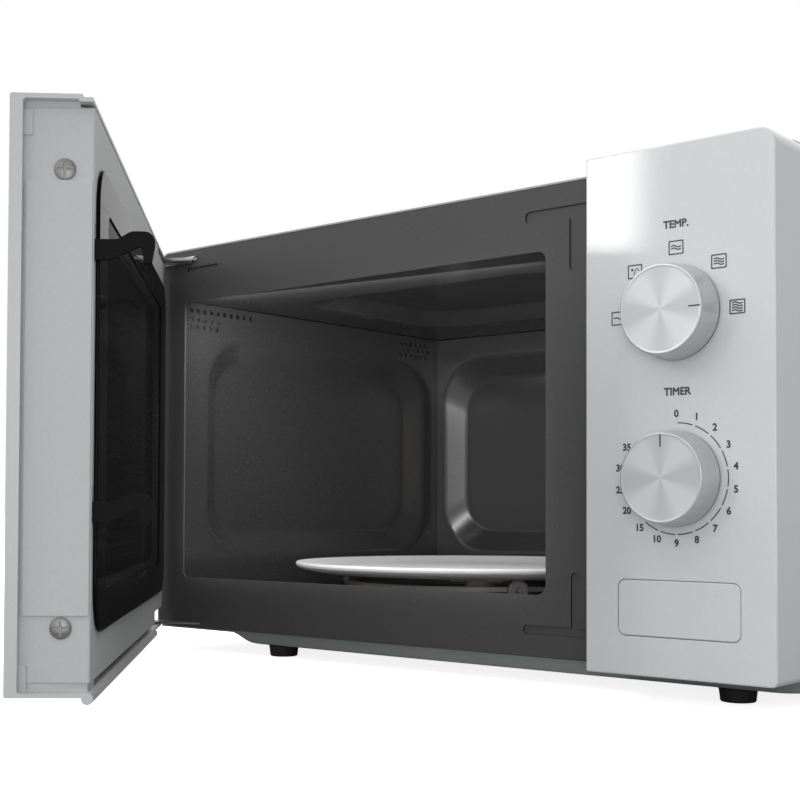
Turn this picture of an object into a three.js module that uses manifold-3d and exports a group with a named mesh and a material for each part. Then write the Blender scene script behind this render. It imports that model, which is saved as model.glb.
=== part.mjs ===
// A countertop microwave oven with two dials and a push-button door release, its door standing open.
//
// Appliance axes: X runs right from the door's hinge edge, Y runs back from the control panel's
// face, Z runs up from the panel's lower edge. The finished group is moved so that its origin is at
// the middle of the footprint, open door included, on the surface that the feet stand on.
import * as THREE from "three";
import { mergeVertices } from "three/addons/utils/BufferGeometryUtils.js";
import Module from "manifold-3d";

const wasm = await Module();
wasm.setup();

// ---- Driving dimensions, in millimetres and degrees ----

const gap = 0.4; // clearance between pieces that touch
const frontWidth = 452; // door and control panel together
const frontHeight = 246;
const panelWidth = 96;
const doorGap = 1.5; // between the door's free edge and the control panel
const doorAngle = 45.5; // how far the door stands open
const doorThickness = 34; // from its outer face to its inner face
const coverProud = 1.6; // how far the window cover stands out of the inner face
const doorSeatGap = 0.4; // closed door to front plate
const hingeInset = 5; // hinge axis from the door's hinge edge
const hingeDepth = 23; // hinge axis behind the door's outer face

const cabinetDepth = 340; // panel's face to the back of the cabinet
const sideInset = 3; // cabinet's left side from the door's hinge edge
const rightInset = 2; // cabinet's right side from the panel's right edge
const roofRise = 2; // cabinet's roof above the door and panel
const wrapSheet = 1;
const wrapCorner = 8;
const plateSheet = 1.2;
const panSheet = 1;
const panDrop = 7.4; // underside of the dropped floor below the door's lower edge
const footHeight = 7;
const footRadius = 9.5;

const cavityLeft = 26.5;
const cavityWidth = 284;
const cavityDepth = 270;
const cavityFloor = 23;
const cavityHeight = 191;
const cavitySheet = 1;
const mouthLip = 1; // plate's edge inside the side walls and roof
const sillRise = 9.5; // lower edge of the mouth above the cavity's floor
const mouthCorner = 6;
const recessDepth = 10; // pressed panels in the cavity's walls
const recessSlope = 22;
const recessCorner = 30;

const panelWall = 2.2;
const panelCorner = 8;
const dialOffset = 48; // dial centres from the panel's right edge
const timerHeight = 91.5;
const powerHeight = 167.5;
const knobBaseRadius = 22;
const knobFaceRadius = 20;
const knobLength = 15;
const shaftRadius = 3;
const buttonWidth = 62;
const buttonHeight = 26.6;
const buttonBottom = 18.4;
const buttonCorner = 4;

const trayRadius = 122.5;
const trayThickness = 3;
const trayRim = 7; // rim's top above the tray's underside
const wheelRadius = 6.3;
const wheelWidth = 5;
const ringRadius = 88;

const rimDepth = 5.3; // thickness of the door's front at its free edge
const endFaceInset = 4; // door's end face in from its free edge
const frameWall = 1.5;
const coverCorner = 14;
const hookThickness = 3;
const hookLift = 5;
const upperHook = 179.2; // underside of each hook's root
const lowerHook = 70.9;
const pinRadius = 2.5;
const tongueSheet = 2;
const tongueReach = 48; // along the front plate, from the hinge axis

// ---- Places worked out from them ----

const panelLeft = frontWidth - panelWidth;
const doorWidth = panelLeft - doorGap;
const seat = doorThickness + coverProud + doorSeatGap; // front face of the front plate
const plateBack = seat + plateSheet;
const cabinetLeft = sideInset;
const cabinetRight = frontWidth - rightInset;
const cabinetTop = frontHeight + roofRise;
const panFloor = -panDrop + panSheet;
const cavityRight = cavityLeft + cavityWidth;
const cavityFront = plateBack + gap;
const cavityBack = cavityFront + cavityDepth;
const cavityRoof = cavityFloor + cavityHeight;
const mouth = {
  left: cavityLeft + mouthLip,
  right: cavityRight - mouthLip,
  low: cavityFloor + sillRise,
  high: cavityRoof - mouthLip,
};
const turnX = cavityLeft + cavityWidth / 2;
const turnY = cavityFront + cavityDepth / 2;
const dialX = frontWidth - dialOffset;
const bayLeft = cavityRight + cavitySheet; // machine bay beside the cavity
const bayRight = cabinetRight - wrapSheet;
const endFace = doorWidth - endFaceInset;
const hookX = endFace - 2.1; // right side of the latch hooks
const latchFloor = seat + 2; // front of what stands behind the front plate

// ---- Materials ----

const finish = (color, roughness, metalness = 0) =>
  new THREE.MeshStandardMaterial({ color, roughness, metalness });
const silverPlastic = finish(0xc2c4c8, 0.35);
const silverPaint = finish(0xa9abaf, 0.45, 0.2);
const greyPaint = finish(0x565a5a, 0.5, 0.2);
const darkEnamel = finish(0x3c3c3e, 0.3, 0.1);
const blackPlastic = finish(0x141416, 0.3);
const innerPlastic = finish(0xe6e4dc, 0.5);
const rubber = finish(0x1c1d1d, 0.8);
const spunMetal = finish(0xcfd0d3, 0.28, 0.9);
const zincSteel = finish(0x9c9f9f, 0.4, 0.9);
const rawSteel = finish(0x8b8d8f, 0.45, 0.9);
const clearGlass = finish(0xb9bdbb, 0.05);
const tintedGlass = finish(0x1a1b1d, 0.05);
const copper = finish(0xa45a2c, 0.4, 0.7);
const boardGreen = finish(0x2f6b45, 0.6);
const mica = finish(0xb6a98c, 0.6);

// ---- Solids ----

// A closed geometry as a solid that can be joined and cut.
function solid(geometry) {
  const bare = geometry.index ? geometry.toNonIndexed() : geometry.clone();
  bare.deleteAttribute("normal");
  bare.deleteAttribute("uv");
  const merged = mergeVertices(bare, 1e-4);
  return new wasm.Manifold(
    new wasm.Mesh({
      numProp: 3,
      vertProperties: merged.attributes.position.array,
      triVerts: new Uint32Array(merged.index.array),
    }),
  );
}

const join = (...solids) => solids.reduce((all, next) => all.add(next));
const cut = (body, ...tools) =>
  tools.reduce((left, tool) => left.subtract(tool), body);

function box([x0, x1], [y0, y1], [z0, z1]) {
  const geometry = new THREE.BoxGeometry(x1 - x0, y1 - y0, z1 - z0);
  geometry.translate((x0 + x1) / 2, (y0 + y1) / 2, (z0 + z1) / 2);
  return solid(geometry);
}

// Turns that lay a drawing, made in the XY plane and extruded along Z, along each appliance axis.
const along = {
  x: new THREE.Matrix4().makeBasis(
    new THREE.Vector3(0, 1, 0),
    new THREE.Vector3(0, 0, 1),
    new THREE.Vector3(1, 0, 0),
  ),
  y: new THREE.Matrix4().makeBasis(
    new THREE.Vector3(1, 0, 0),
    new THREE.Vector3(0, 0, 1),
    new THREE.Vector3(0, -1, 0),
  ),
  z: new THREE.Matrix4(),
};

// A drawing extruded from one plane to another. It is drawn in (y, z) for x, (x, z) for y, (x, y) for z.
function extrude(axis, shape, from, to, options = {}) {
  const geometry = new THREE.ExtrudeGeometry(shape, {
    depth: to - from,
    bevelEnabled: false,
    curveSegments: 2,
    ...options,
  });
  geometry.applyMatrix4(along[axis]);
  const start = { x: [from, 0, 0], y: [0, to, 0], z: [0, 0, from] }[axis];
  geometry.translate(...start);
  return solid(geometry);
}

// A round bar or, when turned about Y or Z, a disc. Its centre line passes through the given point.
function rod(axis, [a, b], from, to, radius, sides = 16, endRadius = radius) {
  const geometry = new THREE.CylinderGeometry(endRadius, radius, to - from, sides);
  geometry.rotateX(Math.PI / 2);
  geometry.translate(0, 0, (from + to) / 2);
  if (axis === "x") geometry.applyMatrix4(along.x);
  if (axis === "y") geometry.rotateX(-Math.PI / 2);
  geometry.translate(...{ x: [0, a, b], y: [a, 0, b], z: [a, b, 0] }[axis]);
  return solid(geometry);
}

// A turned piece about a vertical axis, from a closed outline of [radius, height] points.
function turned(outline, sides) {
  const points = outline.map(([r, z]) => new THREE.Vector2(r, z));
  const geometry = new THREE.LatheGeometry(points, sides);
  geometry.rotateX(Math.PI / 2);
  return solid(geometry);
}

function polygon(points) {
  return new THREE.Shape(points.map(([a, b]) => new THREE.Vector2(a, b)));
}

// A rectangle with its own radius at each corner: lower left, lower right, upper right, upper left.
function roundedRectangle([a0, a1], [b0, b1], radii) {
  const [r0, r1, r2, r3] = Array.isArray(radii) ? radii : Array(4).fill(radii);
  const shape = new THREE.Shape();
  const corner = (a, b, r, turn) =>
    r > 0
      ? shape.absarc(a, b, r, turn, turn + Math.PI / 2, false)
      : shape.lineTo(a, b);
  shape.moveTo(a0 + r0, b0);
  shape.lineTo(a1 - r1, b0);
  corner(a1 - r1, b0 + r1, r1, -Math.PI / 2);
  corner(a1 - r2, b1 - r2, r2, 0);
  corner(a0 + r3, b1 - r3, r3, Math.PI / 2);
  corner(a0 + r0, b0 + r0, r0, Math.PI);
  return shape;
}

// A block whose ends are two rectangles of different size.
function frustum(low, high) {
  const geometry = new THREE.BoxGeometry(1, 1, 1);
  const position = geometry.getAttribute("position");
  for (let i = 0; i < position.count; i++) {
    const end = position.getZ(i) > 0 ? high : low;
    position.setXYZ(
      i,
      end.x[position.getX(i) > 0 ? 1 : 0],
      end.y[position.getY(i) > 0 ? 1 : 0],
      end.z,
    );
  }
  return solid(geometry);
}

function piece(name, body, material) {
  const { numProp, numVert, vertProperties, triVerts } = body.getMesh();
  const positions = new Float32Array(numVert * 3);
  for (let i = 0; i < numVert; i++)
    positions.set(vertProperties.subarray(i * numProp, i * numProp + 3), i * 3);
  const geometry = new THREE.BufferGeometry();
  geometry.setAttribute("position", new THREE.BufferAttribute(positions, 3));
  geometry.setIndex(new THREE.BufferAttribute(triVerts, 1));
  const mesh = new THREE.Mesh(geometry, material);
  mesh.name = name;
  return mesh;
}

// A flat wall of sheet with a panel pressed out of it. side is 1 when the panel goes the way that
// its axis points, and face is the plane of the wall's inner side.
function pressedWall({ axis, sheet, a, b, face, side, panel, depth = recessDepth }) {
  const slope = recessSlope;
  const spans = (from, to) => (from < to ? [from, to] : [to, from]);
  const wallSpan = spans(face, face + side * sheet);
  const flat = extrude(axis, roundedRectangle(a, b, 0), ...wallSpan);
  const inset = ([from, to], by) => [from + by, to - by];
  const pressing = (grow, deep) => {
    const corner = recessCorner - slope / 2 + grow;
    const outline = roundedRectangle(
      inset(panel.a, slope - grow),
      inset(panel.b, slope - grow),
      corner,
    );
    const straight = spans(face - side * 2 * depth, face + side * (deep - depth));
    return extrude(axis, outline, ...straight, {
      bevelEnabled: true,
      bevelSegments: 1,
      bevelThickness: depth,
      bevelSize: slope,
    });
  };
  const bulge = pressing(sheet, depth + sheet).intersect(
    extrude(
      axis,
      roundedRectangle(inset(a, -1), inset(b, -1), 0),
      ...spans(face, face + side * (depth + 2 * sheet)),
    ),
  );
  return cut(join(flat, bulge), pressing(0, depth));
}

const oven = new THREE.Group();

// ---- Base, feet and casing ----

const panSpan = {
  x: [cabinetLeft + wrapSheet + gap, cabinetRight - wrapSheet - gap],
  y: [plateBack + gap, cabinetDepth - wrapSheet - gap],
};
const trough = {
  high: { x: [62, panSpan.x[1] - 1], y: [panSpan.y[0] + 1, panSpan.y[1] - 8] },
  low: { x: [80, panSpan.x[1] - 3], y: [panSpan.y[0] + 3, panSpan.y[1] - 16] },
};

function basePan() {
  const rim = box(panSpan.x, panSpan.y, [-panSheet, 0]);
  const outside = frustum(
    { ...trough.low, z: -panDrop },
    { ...trough.high, z: -panSheet / 2 },
  );
  const inward = ([from, to]) => [from + panSheet, to - panSheet];
  const inside = frustum(
    { x: inward(trough.low.x), y: inward(trough.low.y), z: panFloor },
    { x: inward(trough.high.x), y: inward(trough.high.y), z: panSheet / 2 },
  );
  return cut(join(rim, outside), inside);
}

function outerWrap() {
  const left = cabinetLeft;
  const right = cabinetRight;
  const lowEdge = 1.5;
  const outline = (inset) =>
    roundedRectangle(
      [left + inset, right - inset],
      [inset ? lowEdge - 1 : lowEdge, cabinetTop - inset],
      [0, 0, wrapCorner - inset, wrapCorner - inset],
    );
  const shell = cut(
    extrude("y", outline(0), seat, cabinetDepth),
    extrude("y", outline(wrapSheet), seat - 1, cabinetDepth + 1),
  );
  const vents = [];
  for (let i = 0; i < 10; i++) {
    const y = cabinetDepth - 40 - i * 9;
    vents.push(box([right - 3, right + 1], [y, y + 3.5], [cabinetTop - 78, cabinetTop - 40]));
  }
  return cut(shell, ...vents);
}

function rearPanel() {
  const back = cabinetDepth - wrapSheet;
  const plate = extrude(
    "y",
    roundedRectangle(
      [cabinetLeft + wrapSheet + gap, cabinetRight - wrapSheet - gap],
      [gap, cabinetTop - wrapSheet - gap],
      [0, 0, wrapCorner, wrapCorner],
    ),
    back - wrapSheet,
    back,
  );
  const vents = [];
  for (let i = 0; i < 9; i++) {
    const z = cabinetTop - 42 - i * 9;
    vents.push(box([bayLeft + 24, bayRight - 24], [back - 3, back + 1], [z, z + 4]));
  }
  const cordHole = rod("y", [inletX, inletZ], back - 3, back + 1, inletRadius + gap);
  return cut(plate, cordHole, ...vents);
}

const inletX = bayRight - 30;
const inletZ = 40;
const inletRadius = 7;

function cordInlet() {
  const back = cabinetDepth - wrapSheet;
  const flange = rod("y", [inletX, inletZ], back + gap, back + gap + 2, inletRadius + 4);
  const neck = rod("y", [inletX, inletZ], back - 8, back + gap + 1, inletRadius);
  const bore = rod("y", [inletX, inletZ], back - 9, back + 4, 3.6, 12);
  return cut(join(flange, neck), bore);
}

function foot(x, y) {
  const top = -panDrop - gap;
  const bottom = -panDrop - footHeight;
  return turned(
    [
      [0, bottom],
      [footRadius - 1.8, bottom],
      [footRadius - 0.8, bottom + 1],
      [footRadius, top],
      [0, top],
    ],
    16,
  ).translate([x, y, 0]);
}

const footX = { left: trough.low.x[0] + 26, right: trough.low.x[1] - 36 };
const footY = {
  front: trough.low.y[0] + footRadius + 0.5,
  rear: trough.low.y[1] - footRadius - 4,
};

function addCasing() {
  oven.add(piece("base_pan", basePan(), greyPaint));
  oven.add(piece("outer_wrap", outerWrap(), silverPaint));
  oven.add(piece("rear_panel", rearPanel(), silverPaint));
  oven.add(piece("cord_inlet", cordInlet(), blackPlastic));
  for (const end of ["front", "rear"])
    for (const side of ["left", "right"])
      oven.add(piece(`foot_${end}_${side}`, foot(footX[side], footY[end]), rubber));
}

// ---- Front plate and cavity ----

// A groove with round ends between two points of the front plate.
function groove([x0, z0], [x1, z1], width, depth) {
  const r = width / 2;
  const across = Math.abs(x1 - x0) > Math.abs(z1 - z0);
  const spanX = across ? [x0 - r, x1 + r] : [x0 - r, x0 + r];
  const spanZ = across ? [z0 - r, z0 + r] : [z0 - r, z1 + r];
  return extrude("y", roundedRectangle(spanX, spanZ, r * 0.98), seat - 1, seat + depth);
}

function frontPlate() {
  const plate = extrude(
    "y",
    roundedRectangle(
      [cabinetLeft + wrapSheet + gap, cabinetRight - wrapSheet - gap],
      [gap, frontHeight - 0.5],
      [0, 0, wrapCorner, wrapCorner],
    ),
    seat,
    plateBack,
  );
  const opening = extrude(
    "y",
    roundedRectangle([mouth.left, mouth.right], [mouth.low, mouth.high], mouthCorner),
    seat - 1,
    plateBack + 1,
  );
  const bay = box(
    [panelLeft + 6, bayRight - 8],
    [seat - 1, plateBack + 1],
    [buttonBottom - 8, frontHeight - 10],
  );
  const slots = [upperHook, lowerHook].map((z) =>
    box([hookX - 8, hookX + 4], [seat - 1, plateBack + 1], [z - 8, z + 22]),
  );
  const beadX = (mouth.right + panelLeft) / 2 - 6;
  const highBead = frontHeight - 14.5;
  const lowBead = 14.2;
  const grooves = [
    groove([mouth.right - 13, highBead], [panelLeft - 6, highBead], 6.5, 0.6),
    groove([beadX, highBead - 28], [beadX, highBead - 4], 6, 0.6),
    groove([mouth.right - 14, lowBead], [panelLeft - 6, lowBead], 5, 0.6),
    groove([beadX + 1, lowBead + 3], [beadX + 1, lowBead + 28], 5, 0.6),
  ];
  return cut(plate, opening, bay, ...slots, ...grooves);
}

function addCavity() {
  const sheet = cavitySheet;
  const walls = { y: [cavityFront, cavityBack], z: [cavityFloor, cavityRoof] };
  const across = [cavityLeft - sheet, cavityRight + sheet];
  const left = pressedWall({
    axis: "x",
    sheet,
    a: walls.y,
    b: walls.z,
    face: cavityLeft,
    side: -1,
    panel: {
      a: [cavityFront + 26, cavityBack - 6],
      b: [cavityFloor + 25, cavityRoof - 22],
    },
  });
  const window = {
    y: [turnY - 42, turnY + 42],
    z: [cavityRoof - 105, cavityRoof - 45],
  };
  const right = cut(
    box([cavityRight, cavityRight + sheet], walls.y, walls.z),
    box([cavityRight - 1, cavityRight + 2], window.y, window.z),
  );
  const back = pressedWall({
    axis: "y",
    sheet,
    a: across,
    b: [cavityFloor, cavityRoof],
    face: cavityBack + gap,
    side: 1,
    panel: {
      a: [cavityLeft + 6, cavityRight - 6],
      b: [cavityFloor + 20, cavityRoof - 7],
    },
  });
  const roof = pressedWall({
    axis: "z",
    sheet,
    a: across,
    b: [cavityFront, cavityBack + gap + sheet],
    face: cavityRoof + gap,
    side: 1,
    panel: {
      a: [cavityLeft + 40, cavityRight - 30],
      b: [cavityFront + 55, cavityBack - 50],
    },
  });
  const floor = cut(
    box(across, [cavityFront, cavityBack + gap + sheet], [
      cavityFloor - gap - sheet,
      cavityFloor - gap,
    ]),
    rod("z", [turnX, turnY], cavityFloor - 5, cavityFloor + 1, 8),
  );
  oven.add(piece("front_plate", frontPlate(), darkEnamel));
  oven.add(piece("cavity_left_wall", left, darkEnamel));
  oven.add(piece("cavity_right_wall", right, darkEnamel));
  oven.add(piece("cavity_back_wall", back, darkEnamel));
  oven.add(piece("cavity_roof", roof, darkEnamel));
  oven.add(piece("cavity_floor", floor, darkEnamel));

  const cover = box(
    [cavityRight - gap - 1, cavityRight - gap],
    [window.y[0] - 7, window.y[1] + 7],
    [window.z[0] - 7, window.z[1] + 7],
  );
  oven.add(piece("waveguide_cover", cover, mica));
  addMicrowaveSource(window);
}

// ---- Machine bay ----

function addMicrowaveSource(window) {
  const near = bayLeft + gap;
  const guideDepth = 18;
  const guide = {
    y: [window.y[0] - 4, window.y[1] + 20],
    z: [window.z[0] - 4, window.z[1] + 4],
  };
  const tube = {
    x: [near + guideDepth + gap, near + guideDepth + gap + 78],
    y: [turnY - 26, turnY + 50],
    z: [cavityRoof - 112, cavityRoof - 32],
  };
  const middle = { y: (tube.y[0] + tube.y[1]) / 2, z: (tube.z[0] + tube.z[1]) / 2 };
  const waveguide = cut(
    box([near, near + guideDepth], guide.y, guide.z),
    box([near - 1, near + guideDepth - 1.5], window.y, [
      guide.z[0] + 2,
      guide.z[1] - 2,
    ]),
    rod("x", [middle.y, middle.z], near + 2, near + guideDepth + 1, 12),
  );
  oven.add(piece("waveguide", waveguide, rawSteel));

  // The magnetron: a finned body in its yoke, its antenna reaching into the waveguide.
  const yoke = cut(
    box(tube.x, tube.y, tube.z),
    box([tube.x[0] + 4, tube.x[1] - 14], [tube.y[0] - 1, tube.y[1] + 1], [
      tube.z[0] + 3,
      tube.z[1] - 3,
    ]),
  );
  const anode = rod("x", [middle.y, middle.z], tube.x[0] + 2, tube.x[1] - 12, 19, 20);
  const antenna = rod("x", [middle.y, middle.z], tube.x[0] - 15, tube.x[0] + 3, 8, 16);
  const fins = [];
  for (let i = 0; i < 6; i++) {
    const x = tube.x[0] + 12 + i * 8;
    fins.push(box([x, x + 1.2], [tube.y[0] + 6, tube.y[1] - 6], [tube.z[0] + 1, tube.z[1] - 1]));
  }
  oven.add(piece("magnetron", join(yoke, anode, antenna, ...fins), rawSteel));

  const cutoutX = tube.x[0] + 30;
  const thermal = join(
    rod("z", [cutoutX, middle.y], tube.z[1] + gap, tube.z[1] + gap + 8, 9, 16),
    box([cutoutX - 14, cutoutX + 14], [middle.y - 4, middle.y + 4], [
      tube.z[1] + gap,
      tube.z[1] + gap + 2,
    ]),
  );
  oven.add(piece("thermal_cutout", thermal, blackPlastic));
  addFan(tube, middle);
}

const fanClear = 6; // magnetron to fan shroud
function addFan(tube, middle) {
  const reach = 44;
  const x = tube.x[0] + reach + 6;
  const centre = [x, middle.z];
  const face = tube.y[1] + fanClear;
  const shroud = cut(
    box([x - reach - 6, x + reach + 6], [face, face + 14], [
      middle.z - reach - 6,
      middle.z + reach + 6,
    ]),
    rod("y", centre, face - 1, face + 15, reach + 1.5, 28),
  );
  oven.add(piece("fan_shroud", shroud, innerPlastic));

  const hub = rod("y", centre, face + 2, face + 13, 11, 16);
  const blades = [];
  const bladeCount = 5;
  for (let i = 0; i < bladeCount; i++) {
    const blade = box([8, reach - 1.5], [-0.8, 0.8], [-13, 13])
      .rotate([28, 0, 0])
      .intersect(box([0, reach], [-5, 5], [-20, 20]))
      .rotate([0, (i * 360) / bladeCount, 0])
      .translate([x, face + 7.5, middle.z]);
    blades.push(blade);
  }
  const spindle = rod("y", centre, face + 12, face + 26, 2, 10);
  oven.add(piece("fan_blade", join(hub, spindle, ...blades), innerPlastic));

  const motorFront = face + 17;
  const motor = cut(
    join(
      box([x - 30, x + 30], [motorFront, motorFront + 16], [middle.z - 22, middle.z + 22]),
      rod("y", centre, motorFront - 1, motorFront + 19, 16, 16),
    ),
    rod("y", centre, motorFront - 2, motorFront + 12, 2 + gap, 12),
  );
  oven.add(piece("fan_motor", motor, rawSteel));
}

function addElectrics() {
  const deck = gap; // resting height on the pan's rim
  const low = panFloor + gap;
  const x = [bayLeft + 24, bayLeft + 106];
  const coilY = [cabinetDepth - 118, cabinetDepth - 48];
  const midY = (coilY[0] + coilY[1]) / 2;
  const core = cut(
    box(x, [midY - 22, midY + 22], [low, low + 66]),
    box([x[0] + 13, x[0] + 28], [midY - 23, midY + 23], [low + 13, low + 53]),
    box([x[1] - 28, x[1] - 13], [midY - 23, midY + 23], [low + 13, low + 53]),
  );
  oven.add(piece("transformer_core", core, rawSteel));
  const midX = (x[0] + x[1]) / 2;
  const winding = cut(
    box([x[0] + 13 + gap, x[1] - 13 - gap], coilY, [low + 13 + gap, low + 53 - gap]),
    box([x[0] + 28 - gap, x[1] - 28 + gap], [midY - 22 - gap, midY + 22 + gap], [low, low + 60]),
  );
  oven.add(piece("transformer_winding", winding, copper));

  const canX = midX - 8;
  const canY = coilY[0] - 34;
  const can = join(
    extrude(
      "z",
      roundedRectangle([canX - 25, canX + 25], [canY - 16, canY + 16], 15.5),
      low,
      low + 62,
    ),
    rod("z", [canX - 12, canY], low + 61, low + 70, 3, 8),
    rod("z", [canX + 12, canY], low + 61, low + 70, 3, 8),
  );
  oven.add(piece("capacitor", can, zincSteel));
  const diode = rod("x", [canY - 30, deck + 14], canX - 18, canX + 18, 4, 12);
  oven.add(piece("hv_diode", diode, blackPlastic));

  const boardTop = cabinetTop - 14;
  const board = join(
    box([bayLeft + 30, bayRight - 22], [plateBack + 70, plateBack + 130], [
      boardTop - 1.6,
      boardTop,
    ]),
    box([bayLeft + 40, bayLeft + 66], [plateBack + 78, plateBack + 98], [
      boardTop - 16,
      boardTop - 1,
    ]),
    rod("y", [bayRight - 40, boardTop - 9], plateBack + 80, plateBack + 104, 8.5, 16),
  );
  oven.add(piece("filter_board", board, boardGreen));

  const lampY = cavityFront + 48;
  const lampZ = cavityRoof - 28;
  const lamp = join(
    rod("x", [lampY, lampZ], bayLeft + 2, bayLeft + 16, 7, 14),
    rod("x", [lampY, lampZ], bayLeft + 14, bayLeft + 30, 9, 14),
  );
  oven.add(piece("cavity_lamp", lamp, clearGlass));
}

// ---- Turntable drive ----

function addTurntable() {
  const motorTop = cavityFloor - gap - cavitySheet - gap;
  const motor = cut(
    join(
      rod("z", [turnX, turnY], motorTop - 14, motorTop, 24.5, 24),
      box([turnX - 31, turnX + 31], [turnY - 5, turnY + 5], [motorTop - 1.5, motorTop]),
    ),
    rod("z", [turnX, turnY], motorTop - 9, motorTop + 1, shaftRadius + gap, 12),
  );
  oven.add(piece("turntable_motor", motor, zincSteel));

  const wheelCentre = cavityFloor + wheelRadius;
  const trayUnder = wheelCentre + wheelRadius + gap;
  const lobes = [];
  for (let i = 0; i < 3; i++)
    lobes.push(
      box([0, 20], [-4, 4], [trayUnder - 6, trayUnder - gap])
        .rotate([0, 0, i * 120])
        .translate([turnX, turnY, 0]),
    );
  const coupler = join(
    rod("z", [turnX, turnY], cavityFloor + 1, trayUnder - gap, 10, 18),
    rod("z", [turnX, turnY], motorTop - 8, cavityFloor + 2, shaftRadius, 12),
    ...lobes,
  );
  oven.add(piece("drive_coupler", coupler, innerPlastic));

  const r = trayRadius;
  const t = trayThickness;
  const tray = turned(
    [
      [0, 0],
      [r - 15, 0],
      [r - 5, 2.8],
      [r - 1.2, 3],
      [r, trayRim * 0.65],
      [r - 1, trayRim],
      [r - 5, trayRim - 0.6],
      [r - 14, t],
      [0, t],
    ],
    48,
  ).translate([turnX, turnY, trayUnder]);
  oven.add(piece("glass_tray", tray, clearGlass));

  const axleRadius = 1.5;
  const wheelInner = ringRadius + 2;
  const axles = [];
  for (let i = 0; i < 3; i++)
    axles.push(
      rod("x", [0, 0], ringRadius - 2, wheelInner + wheelWidth + 2, axleRadius, 8)
        .rotate([0, 0, i * 120 + wheelTurn])
        .translate([turnX, turnY, wheelCentre]),
    );
  const ring = turned(
    [
      [ringRadius - 4, -2.5],
      [ringRadius, -2.5],
      [ringRadius, 2.5],
      [ringRadius - 4, 2.5],
      [ringRadius - 4, -2.5],
    ],
    36,
  ).translate([turnX, turnY, wheelCentre]);
  oven.add(piece("roller_ring", join(ring, ...axles), innerPlastic));
  for (let i = 0; i < 3; i++) {
    const wheel = cut(
      rod("x", [0, 0], wheelInner, wheelInner + wheelWidth, wheelRadius - 0.05, 20),
      rod("x", [0, 0], wheelInner - 1, wheelInner + wheelWidth + 1, axleRadius + gap, 8),
    )
      .rotate([0, 0, i * 120 + wheelTurn])
      .translate([turnX, turnY, wheelCentre]);
    oven.add(piece(`roller_wheel_${i + 1}`, wheel, innerPlastic));
  }
}

const wheelTurn = -40; // direction of the first roller wheel from the turntable's axis

// ---- Control panel ----

const buttonSpan = {
  x: [dialX - buttonWidth / 2 + 0.4, dialX + buttonWidth / 2 + 0.4],
  z: [buttonBottom, buttonBottom + buttonHeight],
};

function controlPanel() {
  const outline = (inset) =>
    roundedRectangle(
      [panelLeft + inset, frontWidth - inset],
      [inset, frontHeight - inset],
      [0, panelCorner - inset, panelCorner - inset, 0],
    );
  const shell = cut(
    extrude("y", outline(0), 0, seat - gap),
    extrude("y", outline(panelWall), panelWall, seat + 1),
  );
  const holes = [timerHeight, powerHeight].map((z) =>
    rod("y", [dialX, z], -1, panelWall + 1, shaftRadius + 1),
  );
  const opening = extrude(
    "y",
    roundedRectangle(buttonSpan.x, buttonSpan.z, buttonCorner),
    -1,
    panelWall + 1,
  );
  return cut(shell, opening, ...holes);
}

function releaseButton() {
  const inside = ([from, to], by) => [from + by, to - by];
  const key = extrude(
    "y",
    roundedRectangle(inside(buttonSpan.x, gap), inside(buttonSpan.z, gap), buttonCorner - gap),
    0,
    panelWall + 2,
  );
  const flange = box(
    inside(buttonSpan.x, -2),
    [panelWall + gap, panelWall + gap + 1.5],
    inside(buttonSpan.z, -2),
  );
  const push = box([dialX - 6, dialX + 6], [panelWall + 1, leverY - 3], [
    leverZ - 22,
    leverZ - 14,
  ]);
  return join(key, flange, push);
}

// The release lever turns about an axle behind the front plate, and lifts the lower hook.
const leverY = latchFloor + 5;
const leverZ = 50;

function releaseLever() {
  const finger = polygon([
    [leverY, leverZ - 2],
    [leverY + 15, leverZ - 2],
    [leverY + 15, lowerHook - 5],
    [leverY + 11, lowerHook - 5],
    [leverY + 11, leverZ + 2],
    [leverY, leverZ + 2],
  ]);
  return join(
    rod("x", [leverY, leverZ], hookX - hookThickness, dialX + 6, 3, 12),
    extrude("x", finger, hookX - hookThickness, hookX),
    box([dialX - 4, dialX + 4], [leverY - 2, leverY + 2], [leverZ - 23, leverZ]),
  );
}

function knob(height) {
  return turned(
    [
      [0, 0],
      [knobBaseRadius, 0],
      [knobBaseRadius - 0.4, 1.5],
      [knobFaceRadius + 0.6, knobLength - 1.5],
      [knobFaceRadius - 0.6, knobLength],
      [0, knobLength],
    ],
    36,
  )
    .rotate([90, 0, 0])
    .translate([dialX, -gap, height])
    .subtract(rod("y", [dialX, height], -11, 1, shaftRadius + gap, 12));
}

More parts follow.
